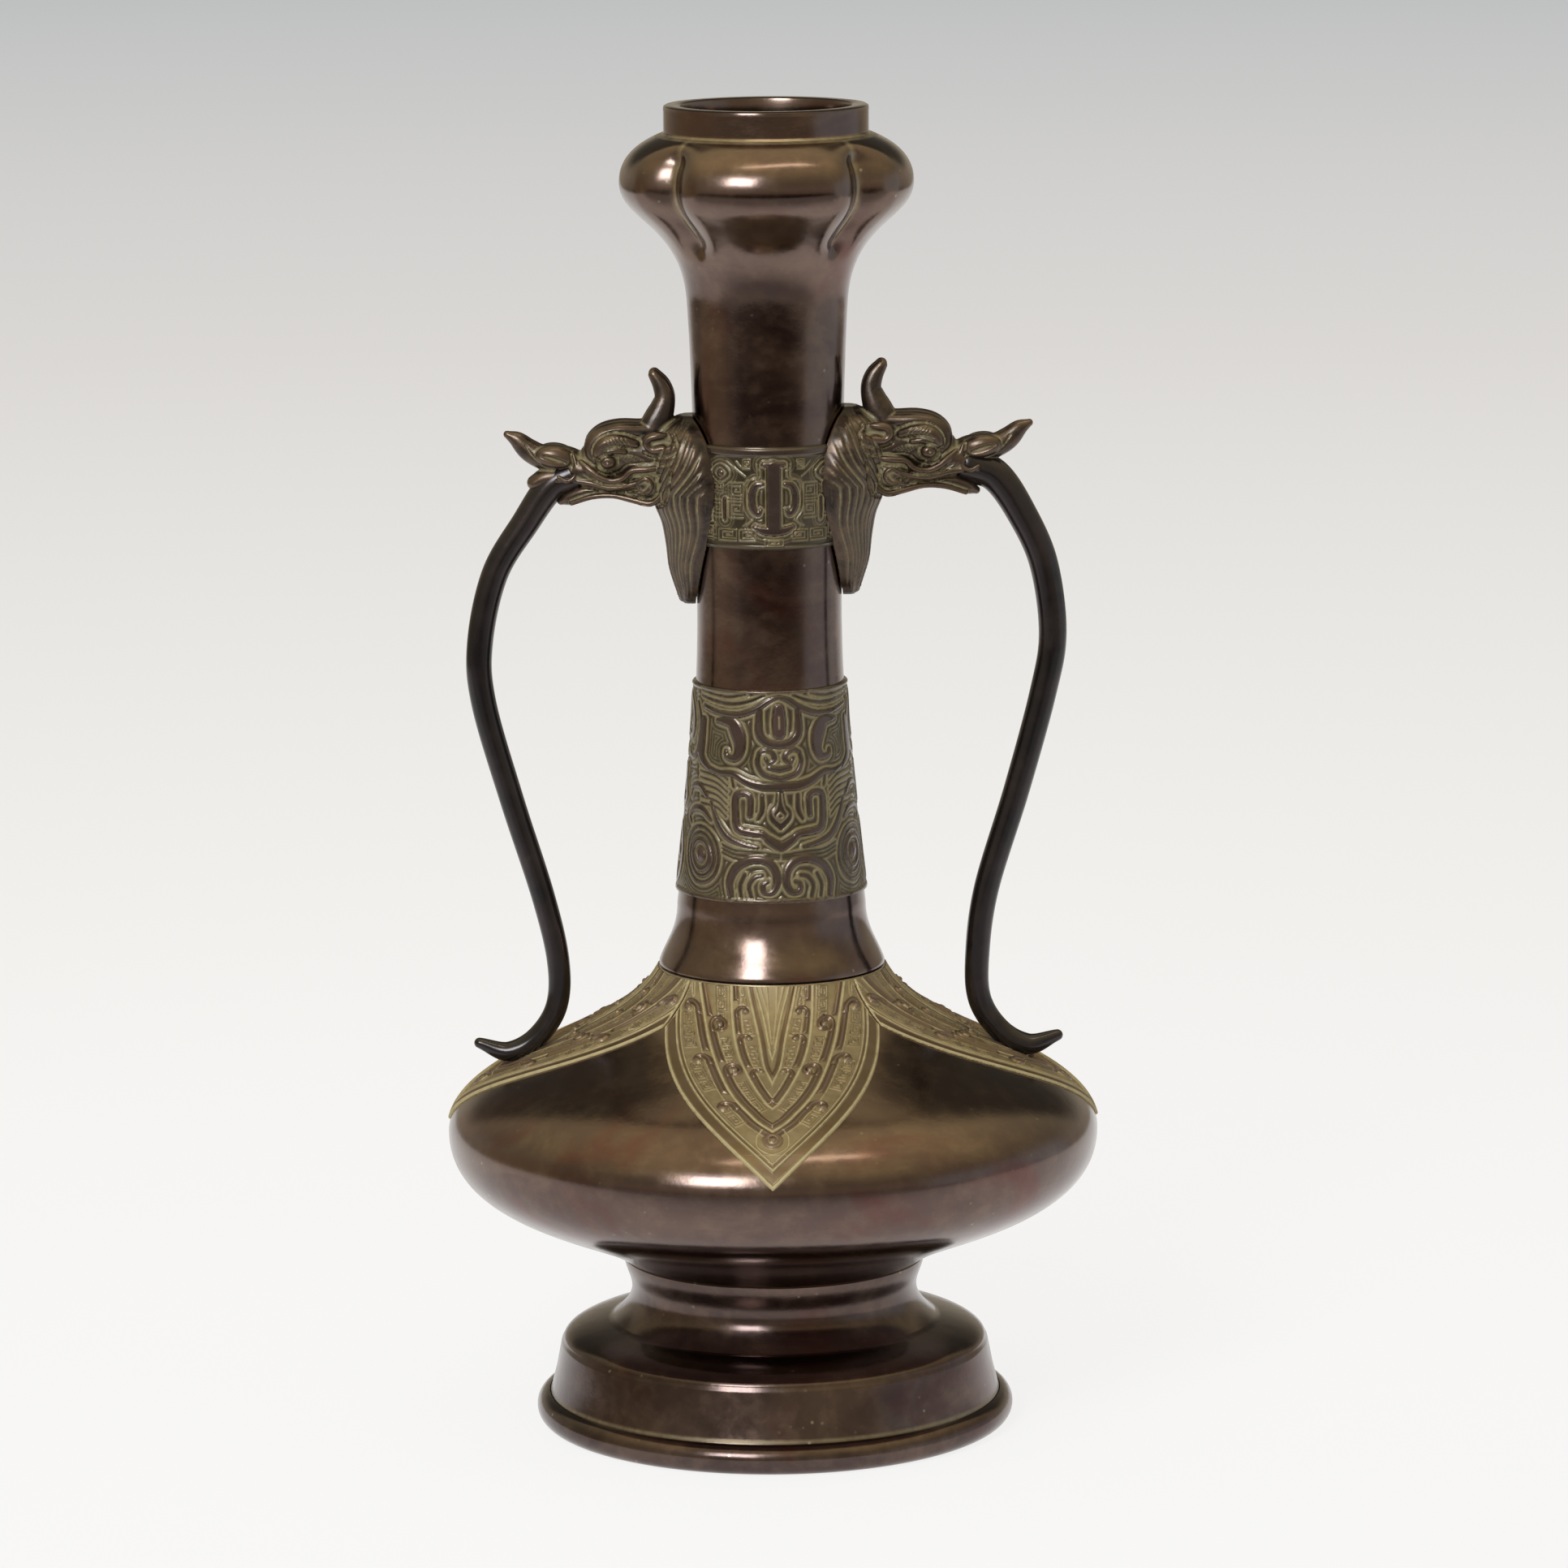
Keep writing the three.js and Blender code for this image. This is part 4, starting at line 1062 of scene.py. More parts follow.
def leaf_relief(x, y, s):
    """The nested lines, hooks and frets of one shoulder leaf."""
    relief = Relief(x, y)
    relief.stain[:] = 0.36
    rim = pointed(s["leaf_half_width"], s["leaf_length"], LEAF_SWELL)
    inner_rim = pointed(29.8, 72.0, LEAF_SWELL)
    outer_pale = LeafLine((0, 22.1), (10.5, 19.9), (20, 18.1), (31.3, 15.2), (41.5, 11.8),
                          (50.2, 7.0), (58.4, 0), (78, -25))
    inner_pale = LeafLine((0, 11.7), (12.4, 11.2), (25, 9.4), (37.8, 5.4), (45.9, 1.9),
                          (48.6, 0), (78, -25))
    heart_rim = LeafLine((0, 7.0), (16.5, 3.9), (29.4, 2.3), (37.4, 0), (78, -11))
    heart = LeafLine((0, 4.9), (10, 2.5), (21.5, 0.8), (26.4, 0), (78, -12))

    def strip(guide, out, half_width, start, end):
        """How far points lie outside a strip that runs beside a line; negative inside."""
        aside = np.abs(guide.outside(x, y) - out) - half_width
        return np.maximum(aside, np.maximum(start - y, y - end))

    def pale(guide, out, half_width, height=0.0, start=-1, end=FAR):
        """A narrow line filled with pale residue."""
        edge = strip(guide, out, half_width, start, end)
        inside = 1 - step_up(edge, -0.25, 0.2)
        relief.height = np.maximum(relief.height, height * inside)
        relief.stain = np.maximum(relief.stain, inside)

    def stripe(guide, out, half_width, start, end, height=0.62):
        """A smooth rounded stripe, rubbed bright. Its residue is also taken off a little way past
        its edge, which paints a dark line of shade beside it.
        """
        edge = strip(guide, out, half_width, start, end)
        relief.height = np.maximum(relief.height, height * (1 - step_up(edge, -0.8, 0.15)))
        # Residue taken off up to the trench: a painted dark line of shade beside the stripe
        relief.stain *= step_up(edge, 0.0, 0.4)
        trench = np.exp(-(((edge - 0.3) / 0.25) ** 2))
        relief.height -= 0.16 * trench

    def hook(guide, out, y0, way, size, curl, ball, width=0.9):
        """A stripe's end that curls over into a ball."""
        path = []
        for step, (a, b) in enumerate(curl):
            px, py = guide.beside(y0, out + way * a * size, b * size)
            path.append((px, py, width * size * (1 - 0.42 * step / (len(curl) - 1))))
        # The ground round the hook is cut lower and left dark as painted shade
        relief.cut_round(path, 0.5, 0.22)
        relief.ridge(path, 0.75, soft=0.6)
        px, py = guide.beside(y0, out + way * ball[0] * size, ball[1] * size)
        relief.boss(px, py, ball[2] * size, ball[2] * size, 1.0)

    def frets(guide, out, half_width, starts, long, turns=2):
        """Square frets one after the other in the strip beside a line."""
        for start in starts:
            spiral = []
            for a, b in fret(turns):
                px, py = guide.beside(start + a * long, out + (b - 0.5) * 2 * half_width)
                spiral.append((px, py, 0.26))
            relief.ridge(spiral, 0.3, soft=0.3, curved=False)

    frets(inner_rim, -4.2, 1.75, (0.6, 10.6, 15.1, 19.6, 29.6, 34.1, 38.6, 49.6, 54.1), 4.0)
    frets(inner_pale, 2.9, 1.5, (0.8, 4.9, 9.0, 17.8, 21.9, 26.0, 36.0, 40.1, 44.2), 3.7)
    frets(heart_rim, 2.2, 1.1, (0.8, 3.8, 10.8, 13.8, 21.0, 24.0, 27.0), 2.7, 1)
    # Golden band inside the pale rim, and the double line that closes it
    band = step_up(inner_rim.outside(x, y), 0.4, 0.7) * (1 - step_up(rim.outside(x, y), -1.6, -1.3))
    relief.stain = relief.stain * (1 - band)
    pale(rim, -0.55, 0.6, 0.36)
    pale(inner_rim, 0.0, 0.4, 0.42)
    stripe(inner_rim, -0.8, 0.25, -1, FAR, 0.1)
    pale(inner_rim, -1.35, 0.25, 0.25)
    # Pale lines between the stripes
    pale(outer_pale, 0, 0.42, 0.2)
    pale(outer_pale, 3.0, 0.2, 0.15)
    pale(outer_pale, -3.2, 0.2, 0.15, 12, 50)
    pale(inner_pale, 0, 0.4, 0.2)
    pale(inner_pale, -2.7, 0.2, 0.15)
    pale(heart_rim, 0, 0.35, 0.2)
    pale(heart, 0, 0.35, 0.25)
    for half_width, reach in ((3.3, 18.0), (1.5, 20.0)):
        pale(LeafLine((0, half_width), (reach, 0.3), (78, -4)), 0, 0.2, 0.15, -1, reach)
    # Stripes, broken where the hooks begin
    for start, end in ((6.8, 23.6), (26.4, 42.2), (46.0, 61.0)):
        stripe(outer_pale, 1.65, 0.95, start, end)
    for start, end in ((-1, 10.6), (14.0, 28.2), (32.4, 57.0)):
        stripe(outer_pale, -1.75, 0.85, start, end)
    for start, end in ((-1, 5.0), (8.0, 16.4), (18.4, 30.0), (33.0, 48.5)):
        stripe(inner_pale, -1.4, 0.75, start, end, 0.55)
    stripe(heart_rim, -0.95, 0.4, -1, 34, 0.35)
    # Hooks that curl out of the stripes
    crook = [(0, 2.4), (0, 0.8), (0.7, -0.5), (2.0, -1.3), (3.3, -1.0), (4.1, 0.0)]
    for y0 in (6.9, 26.2, 45.9):
        hook(outer_pale, 1.65, y0, 1, 1.0, crook, (3.6, 0.7, 1.45))
    swirl = [(0, 2.2), (0, 0.2), (0.5, -1.4), (1.8, -2.5), (3.4, -2.3), (4.5, -0.9), (4.4, 0.9),
             (3.2, 2.0), (1.9, 1.9)]
    for y0 in (14.0, 32.6):
        hook(outer_pale, -1.75, y0, -1, 0.92, swirl, (2.6, 0.1, 1.3), 0.75)
    for y0 in (8.2, 18.4, 33.0):
        hook(inner_pale, -1.4, y0, -1, 0.72, crook, (3.6, 0.6, 1.25), 0.8)
    relief.boss(0, 45.2, 0.9, 0.9, 0.9)
    # Round boss where the stripes meet
    turn = np.linspace(0, math.pi, 9)
    ring = [(2.1 * math.sin(a), 62.1 - 2.2 * math.cos(a), 0.8) for a in turn]
    relief.ridge(ring, 0.6, curved=False)
    relief.boss(0, 62.1, 1.5, 1.6, 1.0)
    round_boss = LeafLine((57.5, 2.2), (59.5, 4.0), (62.1, 4.5), (64.7, 3.9), (66.8, 0.6),
                          (67.2, -3))
    pale(round_boss, 0, 0.2, 0.15, 58, 68)
    return relief


class VASE_OT_shoulder_leaves(Operator):
    """Chases one pointed leaf for the shoulder and copies it to the other three sides"""

    bl_idname = "vase.shoulder_leaves"
    bl_label = "Shoulder Leaves"

    def execute(self, context):
        s = sizes()
        line = shoulder_line(400)
        gone = along(line)
        rows, columns, under = 375, 251, 7
        y = np.linspace(0.5, s["leaf_length"] - 0.15, rows)
        radius = np.interp(y, gone, line[:, 0])
        level = np.interp(y, gone, line[:, 1])
        slope_r, slope_z = np.gradient(radius, y), np.gradient(level, y)
        # A leaf stops just short of its neighbours, an eighth of a turn from its middle
        rim = pointed(s["leaf_half_width"], s["leaf_length"], LEAF_SWELL)
        reach = np.minimum(rim.edge(y), radius * (QUARTER / 2) - 0.35)
        across = np.linspace(-1, 1, columns)
        x = reach[:, None] * across[None, :]
        relief = leaf_relief(np.abs(x), y[:, None] + 0 * x, s)
        height = relief.height + s["leaf_rise"] - 0.3
        border = reach[:, None] - np.abs(x)
        height = np.where(border < 1e-6, -0.05, np.minimum(height, 0.1 + 1.1 * border))
        stain = np.where(border < 0.5, 1.0, relief.stain)
        below = np.linspace(1, -1, under)[None, :] * reach[:, None]
        x_all = np.hstack([x, below, x[:, :1]])
        h_all = np.hstack([height, np.full((rows, under), -0.7), height[:, :1]])
        marks = relief.marks(stain, under + 1)
        angle = x_all / radius[:, None]
        out = radius[:, None] - slope_z[:, None] * h_all
        up = level[:, None] + slope_r[:, None] * h_all
        places = np.stack([out * np.sin(angle), -out * np.cos(angle), up], axis=2)
        first = wrapped("shoulder_leaf_front", places, marks)
        shade(first, 60)
        copies = [first]
        for quarter, name in enumerate(("right", "back", "left"), start=1):
            pick(first)
            bpy.ops.object.duplicate(linked=False)
            copy = named("shoulder_leaf_" + name)
            places = get_places(copy)
            turn = quarter * QUARTER
            c, d = math.cos(turn), math.sin(turn)
            set_places(copy, places @ np.array([[c, d, 0], [-d, c, 0], [0, 0, 1]]))
            copies.append(copy)
        for copy in copies:
            finished(copy, bronzes("leaf_relief"), "polished_bronze")
        return {"FINISHED"}


# Dragon heads and handles


def swept(name, stations, sides=20, fineness=4):
    """A bar with round ends through stations of x, y, z, half-height and half-width."""
    path = smooth(stations, fineness)
    path[:, 3:] = np.maximum(path[:, 3:], 0.15)
    run = np.gradient(path[:, :3], axis=0)
    run /= np.linalg.norm(run, axis=1)[:, None]
    caps = []
    for end, way in ((0, -1), (-1, 1)):
        size = path[end, 3:].min()
        made = []
        for turn in (0.45, 0.9, 1.25, 1.5):
            spot = path[end].copy()
            spot[:3] += way * run[end] * size * math.sin(turn)
            spot[3:] *= math.cos(turn)
            made.append(spot)
        caps.append(made)
    path = np.vstack([caps[0][::-1], path, caps[1]])
    run = np.vstack([[run[0]] * 4, run, [run[-1]] * 4])
    side = np.array([0.0, 1.0, 0.0]) - run[:, 1:2] * run
    side /= np.linalg.norm(side, axis=1)[:, None]
    up = np.cross(side, run)
    turn = np.linspace(0, TAU, sides + 1)
    places = (
        path[:, None, :3]
        + up[:, None, :] * (path[:, None, 3:4] * np.cos(turn)[None, :, None])
        + side[:, None, :] * (path[:, None, 4:5] * np.sin(turn)[None, :, None])
    )
    return wrapped(name, places, {})


def ball(name, centre, half_sizes, tilt=0.0):
    """An oval form, tilted about the vase's front-to-back line."""
    start_clean()
    bpy.ops.mesh.primitive_uv_sphere_add(segments=32, ring_count=20, radius=1)
    piece = named(name)
    places = get_places(piece) * MM * np.array(half_sizes)
    c, d = math.cos(tilt), math.sin(tilt)
    places = places @ np.array([[c, 0, d], [0, 1, 0], [-d, 0, c]])
    set_places(piece, places + np.array(centre))
    return piece


def joined(name, pieces):
    """Joins forms into one piece."""
    start_clean()
    for piece in pieces:
        piece.select_set(True)
    bpy.context.view_layer.objects.active = pieces[0]
    bpy.ops.object.join()
    return named(name)


def cast_as_one(piece, fineness, rounds=3):
    """Melts joined forms into one skin and eases it."""
    pick(piece)
    piece.data.remesh_voxel_size = fineness * MM
    piece.data.remesh_voxel_adaptivity = 0
    bpy.ops.object.voxel_remesh()
    eased = piece.modifiers.new("Eased", "SMOOTH")
    eased.factor = 0.5
    eased.iterations = rounds
    bpy.ops.object.modifier_apply(modifier=eased.name)


def hollows(piece, rounds=10):
    """How far each vertex lies below its softened surroundings, in millimetres."""
    ends = np.zeros(len(piece.data.edges) * 2, np.int32)
    piece.data.edges.foreach_get("vertices", ends)
    a, b = ends.reshape(-1, 2).T
    places = get_places(piece)
    count = np.maximum(np.bincount(ends, minlength=len(places)), 1)[:, None]
    soft = places
    for _ in range(rounds):
        sums = []
        for axis in range(3):
            first = np.bincount(a, soft[b, axis], len(places))
            sums.append(first + np.bincount(b, soft[a, axis], len(places)))
        soft = np.stack(sums, axis=1) / count
    return ((soft - places) * outward(piece)).sum(axis=1)


# The mane's rows: height from the eyes, how thick it lies on the neck, and how many degrees it
# reaches round it
MANE = [
    (-43.6, 1.0, 2), (-42.3, 2.6, 7), (-39.3, 3.6, 16), (-33, 5.4, 25), (-26.5, 6.1, 33),
    (-20, 7.2, 40), (-15, 9.0, 44), (-8, 10.2, 46), (0, 10.2, 42), (5, 9.2, 35), (8, 6.5, 27),
    (9.6, 3.6, 19), (10.6, 1.6, 12),
]


def mane(level):
    """The mane that lies against the neck, with its combed strands."""
    rows = smooth(MANE, 8)
    up = np.linspace(rows[0, 0], rows[-1, 0], 230)
    thick = np.interp(up, rows[:, 0], rows[:, 1])
    reach = np.radians(np.interp(up, rows[:, 0], rows[:, 2]))
    share = np.linspace(-1, 1, 151)
    over_band = step_up(up + level, MASK_BAND[0] - 5, MASK_BAND[0] - 1)
    over_band = over_band * (1 - step_up(up + level, MASK_BAND[1] + 1, MASK_BAND[1] + 5))
    rest = sizes()["band_rise"] * (1 - over_band)
    base = neck_radius(up + level) + sizes()["band_rise"] - rest + 0.35
    rise = np.cos(0.5 * math.pi * np.abs(share)) ** 0.75
    lean = np.abs(share)[None, :] - 0.03 * np.maximum(up + 11, 0)[:, None]
    lean = lean + 0.02 * np.sin(up * 0.35)[:, None]
    strands = np.abs(np.sin(math.pi * lean * 10.5)) ** 0.7
    locks = np.abs(np.sin(math.pi * (lean * 3.2 + 0.2))) ** 0.6
    edge = step_up(1 - np.abs(share), 0, 0.12)[None, :]
    combed = edge * (0.75 * strands + 0.55 * locks)
    outer = base[:, None] + 0.2 + (thick + rest)[:, None] * rise[None, :] + combed
    angle = reach[:, None] * share[None, :]
    back = np.repeat(base[:, None], 40, axis=1)
    back_angle = reach[:, None] * np.linspace(1, -1, 40)[None, :]
    radius = np.hstack([outer, back, outer[:, :1]])
    angle = np.hstack([angle, back_angle, angle[:, :1]])
    height = np.repeat((up + level)[:, None], radius.shape[1], axis=1)
    places = np.stack([radius * np.cos(angle), radius * np.sin(angle), height], axis=2)
    return wrapped("mane", places, {})


def both(make, name, stations, **how):
    """One form on each cheek of the head."""
    made = []
    for side in (-1, 1):
        places = [(x, y * side, z, *rest) for x, y, z, *rest in stations]
        made.append(make(name, places, **how))
    return made


def head_forms(level):
    """The forms that a dragon's head is put together from. Heights are from the eyes."""

    def at(stations):
        """Stations lifted from the eyes' level to the dragon's own."""
        return [(x, y, z + level, a, b) for x, y, z, a, b in stations]

    forms = [mane(level)]
    # Skull, bridge of the nose and upturned tip
    forms.append(swept("skull", at([
        (24, 0, -2, 11.0, 8.0), (29, 0, -2, 10.6, 7.8), (36, 0, -0.6, 8.0, 7.0),
        (43.5, 0, -0.2, 7.2, 6.4), (49, 0, -1.6, 5.2, 5.4), (53, 0, -2.9, 3.5, 4.2),
        (57, 0, -2.0, 3.8, 4.2), (61, 0, -1.8, 4.2, 4.2), (65, 0, -0.9, 3.5, 3.5),
        (68.2, 0, 1.0, 3.2, 2.8), (71.2, 0, 3.7, 2.4, 2.2), (74, 0, 5.2, 1.1, 1.3),
    ]), sides=36))
    # Lower jaw
    forms.append(swept("jaw", at([
        (27, 0, -10.5, 4.6, 7.2), (33, 0, -11.2, 3.9, 7.0), (40, 0, -10.0, 2.9, 6.2),
        (47, 0, -9.9, 2.7, 5.0), (53, 0, -11.2, 2.6, 4.2), (57, 0, -13.0, 2.2, 3.2),
        (58.9, 0, -13.9, 1.2, 2.0),
    ]), sides=28))
    # Palate that carries the strap
    forms.append(swept("palate", at([
        (45, 0, -6.6, 2.2, 4.8), (52, 0, -7.0, 3.0, 4.2), (58, 0, -6.8, 3.2, 3.9),
        (63, 0, -7.2, 3.0, 3.7), (66.4, 0, -8.6, 2.2, 3.2),
    ]), sides=24))
    # Horns, brows and the rolls over the eyes
    forms += both(swept, "horn", at([
        (33.8, 3.8, 4.5, 4.0, 2.8), (31.4, 3.6, 9.0, 4.0, 2.6), (29.9, 3.2, 12.4, 3.5, 2.4),
        (29.2, 2.8, 15.7, 2.9, 2.1), (30.2, 2.5, 19.2, 2.5, 1.9), (32.2, 2.2, 22.2, 1.7, 1.6),
    ]))
    forms += both(swept, "crown", at([
        (30, 3.2, 6.8, 2.8, 3.0), (36, 3.4, 6.6, 2.5, 3.2), (42, 3.6, 6.6, 2.6, 3.4),
        (46.6, 3.8, 5.4, 2.7, 3.2), (49.4, 4.0, 2.9, 2.6, 2.8), (49.8, 4.4, 0.2, 2.1, 2.4),
        (48.8, 4.8, -1.8, 1.3, 1.7),
    ]))
    forms += both(swept, "brow", at([
        (37.4, 6.2, 2.9, 1.3, 1.2), (41, 6.9, 4.0, 1.7, 1.7), (44.6, 7.3, 3.9, 1.9, 1.9),
        (47.4, 7.2, 2.4, 1.7, 1.7), (48.3, 6.9, 0.2, 1.3, 1.4), (46.8, 7.0, 0.6, 1.0, 1.1),
        (43.4, 7.2, 1.3, 1.0, 1.1), (40.6, 6.9, 0.9, 0.8, 0.8),
    ]))
    for side in (-1, 1):
        forms.append(ball("eyeball", (45.3, 6.3 * side, level - 2.0), (2.3, 1.9, 2.0)))
        forms.append(ball("ear", (30.8, 8.8 * side, level + 3.4), (4.8, 1.9, 3.4), 0.12))
        forms.append(ball("nose_wing", (60.4, 3.6 * side, level - 0.9), (5.6, 2.6, 3.3), 0.12))
        forms.append(ball("cheek", (33.4, 5.6 * side, level - 7.8), (6.4, 3.2, 5.2)))
        forms.append(ball("muzzle", (50.5, 4.2 * side, level - 5.0), (6.0, 2.2, 3.0), 0.1))
    # Folds of the lip, from the cheek to the bridge of the nose
    forms += both(swept, "upper_lip", at([
        (29.8, 8.0, -3.4, 0.7, 0.8), (34.4, 8.4, -4.0, 0.9, 0.9), (38.6, 7.9, -4.4, 0.9, 0.9),
        (41.2, 7.4, -6.6, 0.9, 0.9), (44.6, 6.9, -7.4, 0.9, 0.9), (47.8, 6.6, -6.3, 1.0, 1.0),
        (50.6, 6.0, -4.3, 1.1, 1.0), (53.2, 4.6, -2.4, 1.0, 0.9),
    ]))
    forms += both(swept, "lower_lip", at([
        (35, 8.2, -7.0, 0.7, 0.7), (39.6, 7.6, -8.6, 0.75, 0.75), (45, 6.6, -9.3, 0.8, 0.8),
        (50, 5.8, -8.2, 0.8, 0.8), (55, 4.8, -7.6, 0.8, 0.8), (60, 4.0, -7.6, 0.7, 0.7),
    ]))
    forms += both(swept, "jaw_fold", at([
        (29.4, 7.4, -7.5, 0.8, 0.9), (30.2, 8.2, -11.2, 0.9, 0.9), (33.4, 8.0, -13.8, 0.9, 0.8),
        (38.4, 7.0, -12.9, 0.9, 0.8), (44, 5.6, -11.8, 0.8, 0.8), (50, 4.6, -12.2, 0.8, 0.7),
        (56, 3.4, -14.2, 0.7, 0.6),
    ]))
    forms += both(swept, "cheek_curl", at([
        (37.6, 7.4, -10.6, 0.6, 0.6), (34.6, 8.4, -10.6, 0.7, 0.7), (33.0, 8.9, -8.4, 0.7, 0.7),
        (34.6, 9.0, -6.6, 0.6, 0.6), (36.6, 8.6, -7.4, 0.5, 0.5),
    ]))
    # Curl behind the nostril and the rolled edge of the nose
    forms += both(swept, "nose_curl", at([
        (55.2, 4.2, -0.4, 0.6, 0.6), (54.4, 4.9, -3.2, 0.65, 0.7), (54.8, 5.2, -6.2, 0.7, 0.7),
        (57, 5.4, -7.6, 0.7, 0.7), (59.4, 5.2, -6.4, 0.6, 0.6),
    ]))
    return forms


def head_strokes(relief):
    """Chased lines of a head, as seen from its side."""
    groove = relief.groove
    # Hollow of the ear
    groove(framed([(28.2, 4.4), (30.2, 4.0), (32.6, 3.4)], 2.0), 1.7, stain=0.0)
    groove(framed([(26.6, 6.4), (25.6, 3.4), (27.4, 0.4), (31.2, -0.6),
                   (35, 0.6)], 0.5), 0.7, stain=0.5)
    # Eye socket and pupil
    groove(framed([(42.4, -1.2), (42.8, -3.4), (45.2, -4.7), (47.8, -3.9),
                   (48.6, -1.8)], 0.5), 0.7, stain=0.8)
    groove(framed([(42.6, -0.8), (44.2, 0.1), (46.4, 0.2), (48, -0.7)], 0.45), 0.6, stain=0.6)
    groove([(45.5, -1.9, 0.6), (45.7, -2.0, 0.6)], 0.5, stain=0.0)
    # Ribbed curls on the brow
    for i in range(6):
        x = 38.6 + 1.25 * i
        groove(framed([(x, 1.6 + 0.25 * i), (x + 0.9, 3.4 + 0.25 * i),
                       (x + 2.0, 4.9 + 0.12 * i)], 0.28), 0.32, stain=0.7)
    groove(framed([(38, 1.6), (41, 2.4), (44, 2.6), (46.8, 1.8)], 0.35), 0.5, stain=0.8)
    groove(framed([(36.8, 4.9), (40, 6.1), (44, 6.5), (47.6, 5.0), (49.8, 1.8),
                   (49.4, -1.0)], 0.3), 0.45, stain=0.8)
    # Nostril, like the bowl of a spoon
    groove([(57.6, -2.6, 0.7), (59.4, -2.0, 1.25), (61.6, -1.2, 1.2),
            (64.2, -0.4, 0.5)], 1.2, stain=0.9)
    groove(framed([(55.8, 0.4), (55.6, -2.6), (56.4, -5.0), (58.2, -5.7),
                   (60, -4.6)], 0.5), 0.7, stain=0.9)
    groove(framed([(60.4, -4.4), (63.6, -3.4), (66.6, -1.0), (68.6, 2.2)], 0.3), 0.3, stain=0.6)
    # Mouth, lips and cheek
    groove(framed([(36.4, -9.6), (40, -10.3), (45.2, -10.7), (50.6, -9.6), (56, -9.4),
                   (61, -9.8)], 0.45), 0.9, stain=0.9)
    groove(framed([(30.6, -5.4), (34.6, -5.9), (38.4, -6.3), (40.6, -8.2), (44.8, -8.6),
                   (48.6, -7.8), (52.4, -5.8)], 0.4),
           0.55, stain=0.9)
    groove(framed([(31.2, -2.0), (35.4, -2.4), (39.8, -2.9), (42.2, -5.0), (45, -5.9),
                   (48.4, -4.9)], 0.35), 0.4, stain=0.8)
    groove(framed([(31.8, -6.8), (31.4, -10.4), (34, -12.6), (38.6, -11.9)], 0.35), 0.5, stain=0.9)
    groove(framed([(33.8, -7.6), (33.4, -9.8), (35.4, -11.2), (38, -10.9)], 0.3), 0.35, stain=0.8)
    # Back edge of the head against the mane
    groove(framed([(27.6, -4), (28.2, -8), (28.8, -12.4), (31.6, -15.2),
                   (36, -14.4)], 0.55), 1.0, stain=0.4)
    groove(framed([(26.6, 5.8), (26.0, 2.2), (27.4, -1.8), (31, -3.0)], 0.45), 0.6, stain=0.7)
    for i in range(7):
        x = 35.2 + 0.75 * i
        groove(framed([(x, -1.6 - 0.1 * i), (x + 2.4, -0.4 - 0.1 * i),
                       (x + 4.4, 0.1)], 0.22), 0.2, stain=0.4)


class VASE_OT_dragon_heads(Operator):
    """Models the two dragon heads with horns, curled brows and manes, and chases their lines"""

    bl_idname = "vase.dragon_heads"
    bl_label = "Dragon Heads"

    def execute(self, context):
        for name, side in SIDES.items():
            level = sizes()["head_level"] + HEAD_SHIFT * side
            piece = joined("dragon_head_" + name + "_casting", head_forms(level))
            cast_as_one(piece, 0.36, 2)
            places = get_places(piece)
            normal = outward(piece)
            relief = Relief(places[:, 0].copy(), places[:, 2] - level)
            relief.stain[:] = 0
            head_strokes(relief)
            facing = step_up(np.abs(normal[:, 1]), 0.2, 0.55)
            set_places(piece, places + normal * (relief.height * facing)[:, None])
            deep = hollows(piece)
            stain = np.clip(relief.stain * facing * 0.8 + deep * 5.0, 0, 1)
            mark(piece, "stain", stain)
            mark(piece, "raised", np.clip(-deep * 3.0, 0, 0.6))
            if side < 0:
                flip_to_left(piece)
            shade(piece, 70)
            finished(piece, bronzes("dragon_brown"), "chased_bronze", "dragon_head_" + name)
        return {"FINISHED"}


class VASE_OT_handle_straps(Operator):
    """Draws the two smooth straps from the dragons' mouths down to the shoulder"""

    bl_idname = "vase.handle_straps"
    bl_label = "Handle Straps"

    def execute(self, context):
        s = sizes()
        shoulder = shoulder_line(300)
        for name, side in SIDES.items():
            spread = -HEAD_SHIFT * side
            mouth = s["head_level"] + HEAD_SHIFT * side - 10
            wide = s["strap_half_width"]
            seat_radius = 74.5 + spread
            seat = float(np.interp(seat_radius, shoulder[:, 0], shoulder[:, 1]))
            seat = seat + s["leaf_rise"] + 0.8 * wide
            span = mouth - seat
            bow = 1.6 * spread
            route = [
                (56 - 0.4 * spread, mouth + 3.5), (63.25 - spread, mouth),
                (70.25 - spread, seat + 0.939 * span), (78, seat + 0.849 * span),
                (81.6 + 0.8 * spread, seat + 0.727 * span), (79.8 + bow, seat + 0.622 * span),
                (72.2 + bow, seat + 0.451 * span), (63.6 + bow, seat + 0.279 * span),
                (60.2 + spread, seat + 0.163 * span), (60.8 + spread, seat + 0.082 * span),
                (66.6 + spread, seat + 0.026 * span), (seat_radius, seat),
                (seat_radius + 8.6, seat + 2.6),
            ]
            share = np.linspace(0, 1, len(route))
            stations = []
            for (x, z), t in zip(route, share):
                thin = 0.55 if t > 0.95 else 1.0
                stout = thin * (1.03 - 0.03 * spread + 0.15 * max(0, 1 - 5 * t)) * wide
                stations.append((x, 0, z, stout * (1.12 - 0.36 * t), stout * (1.06 - 0.27 * t)))
            piece = swept("handle_strap_" + name + "_bar", stations, sides=40, fineness=14)
            if side < 0:
                flip_to_left(piece)
            mark(piece, "stain", np.zeros(len(piece.data.vertices)))
            shade(piece, 60)
            finished(piece, bronzes("strap_black"), "dark_bronze", "handle_strap_" + name)
        return {"FINISHED"}


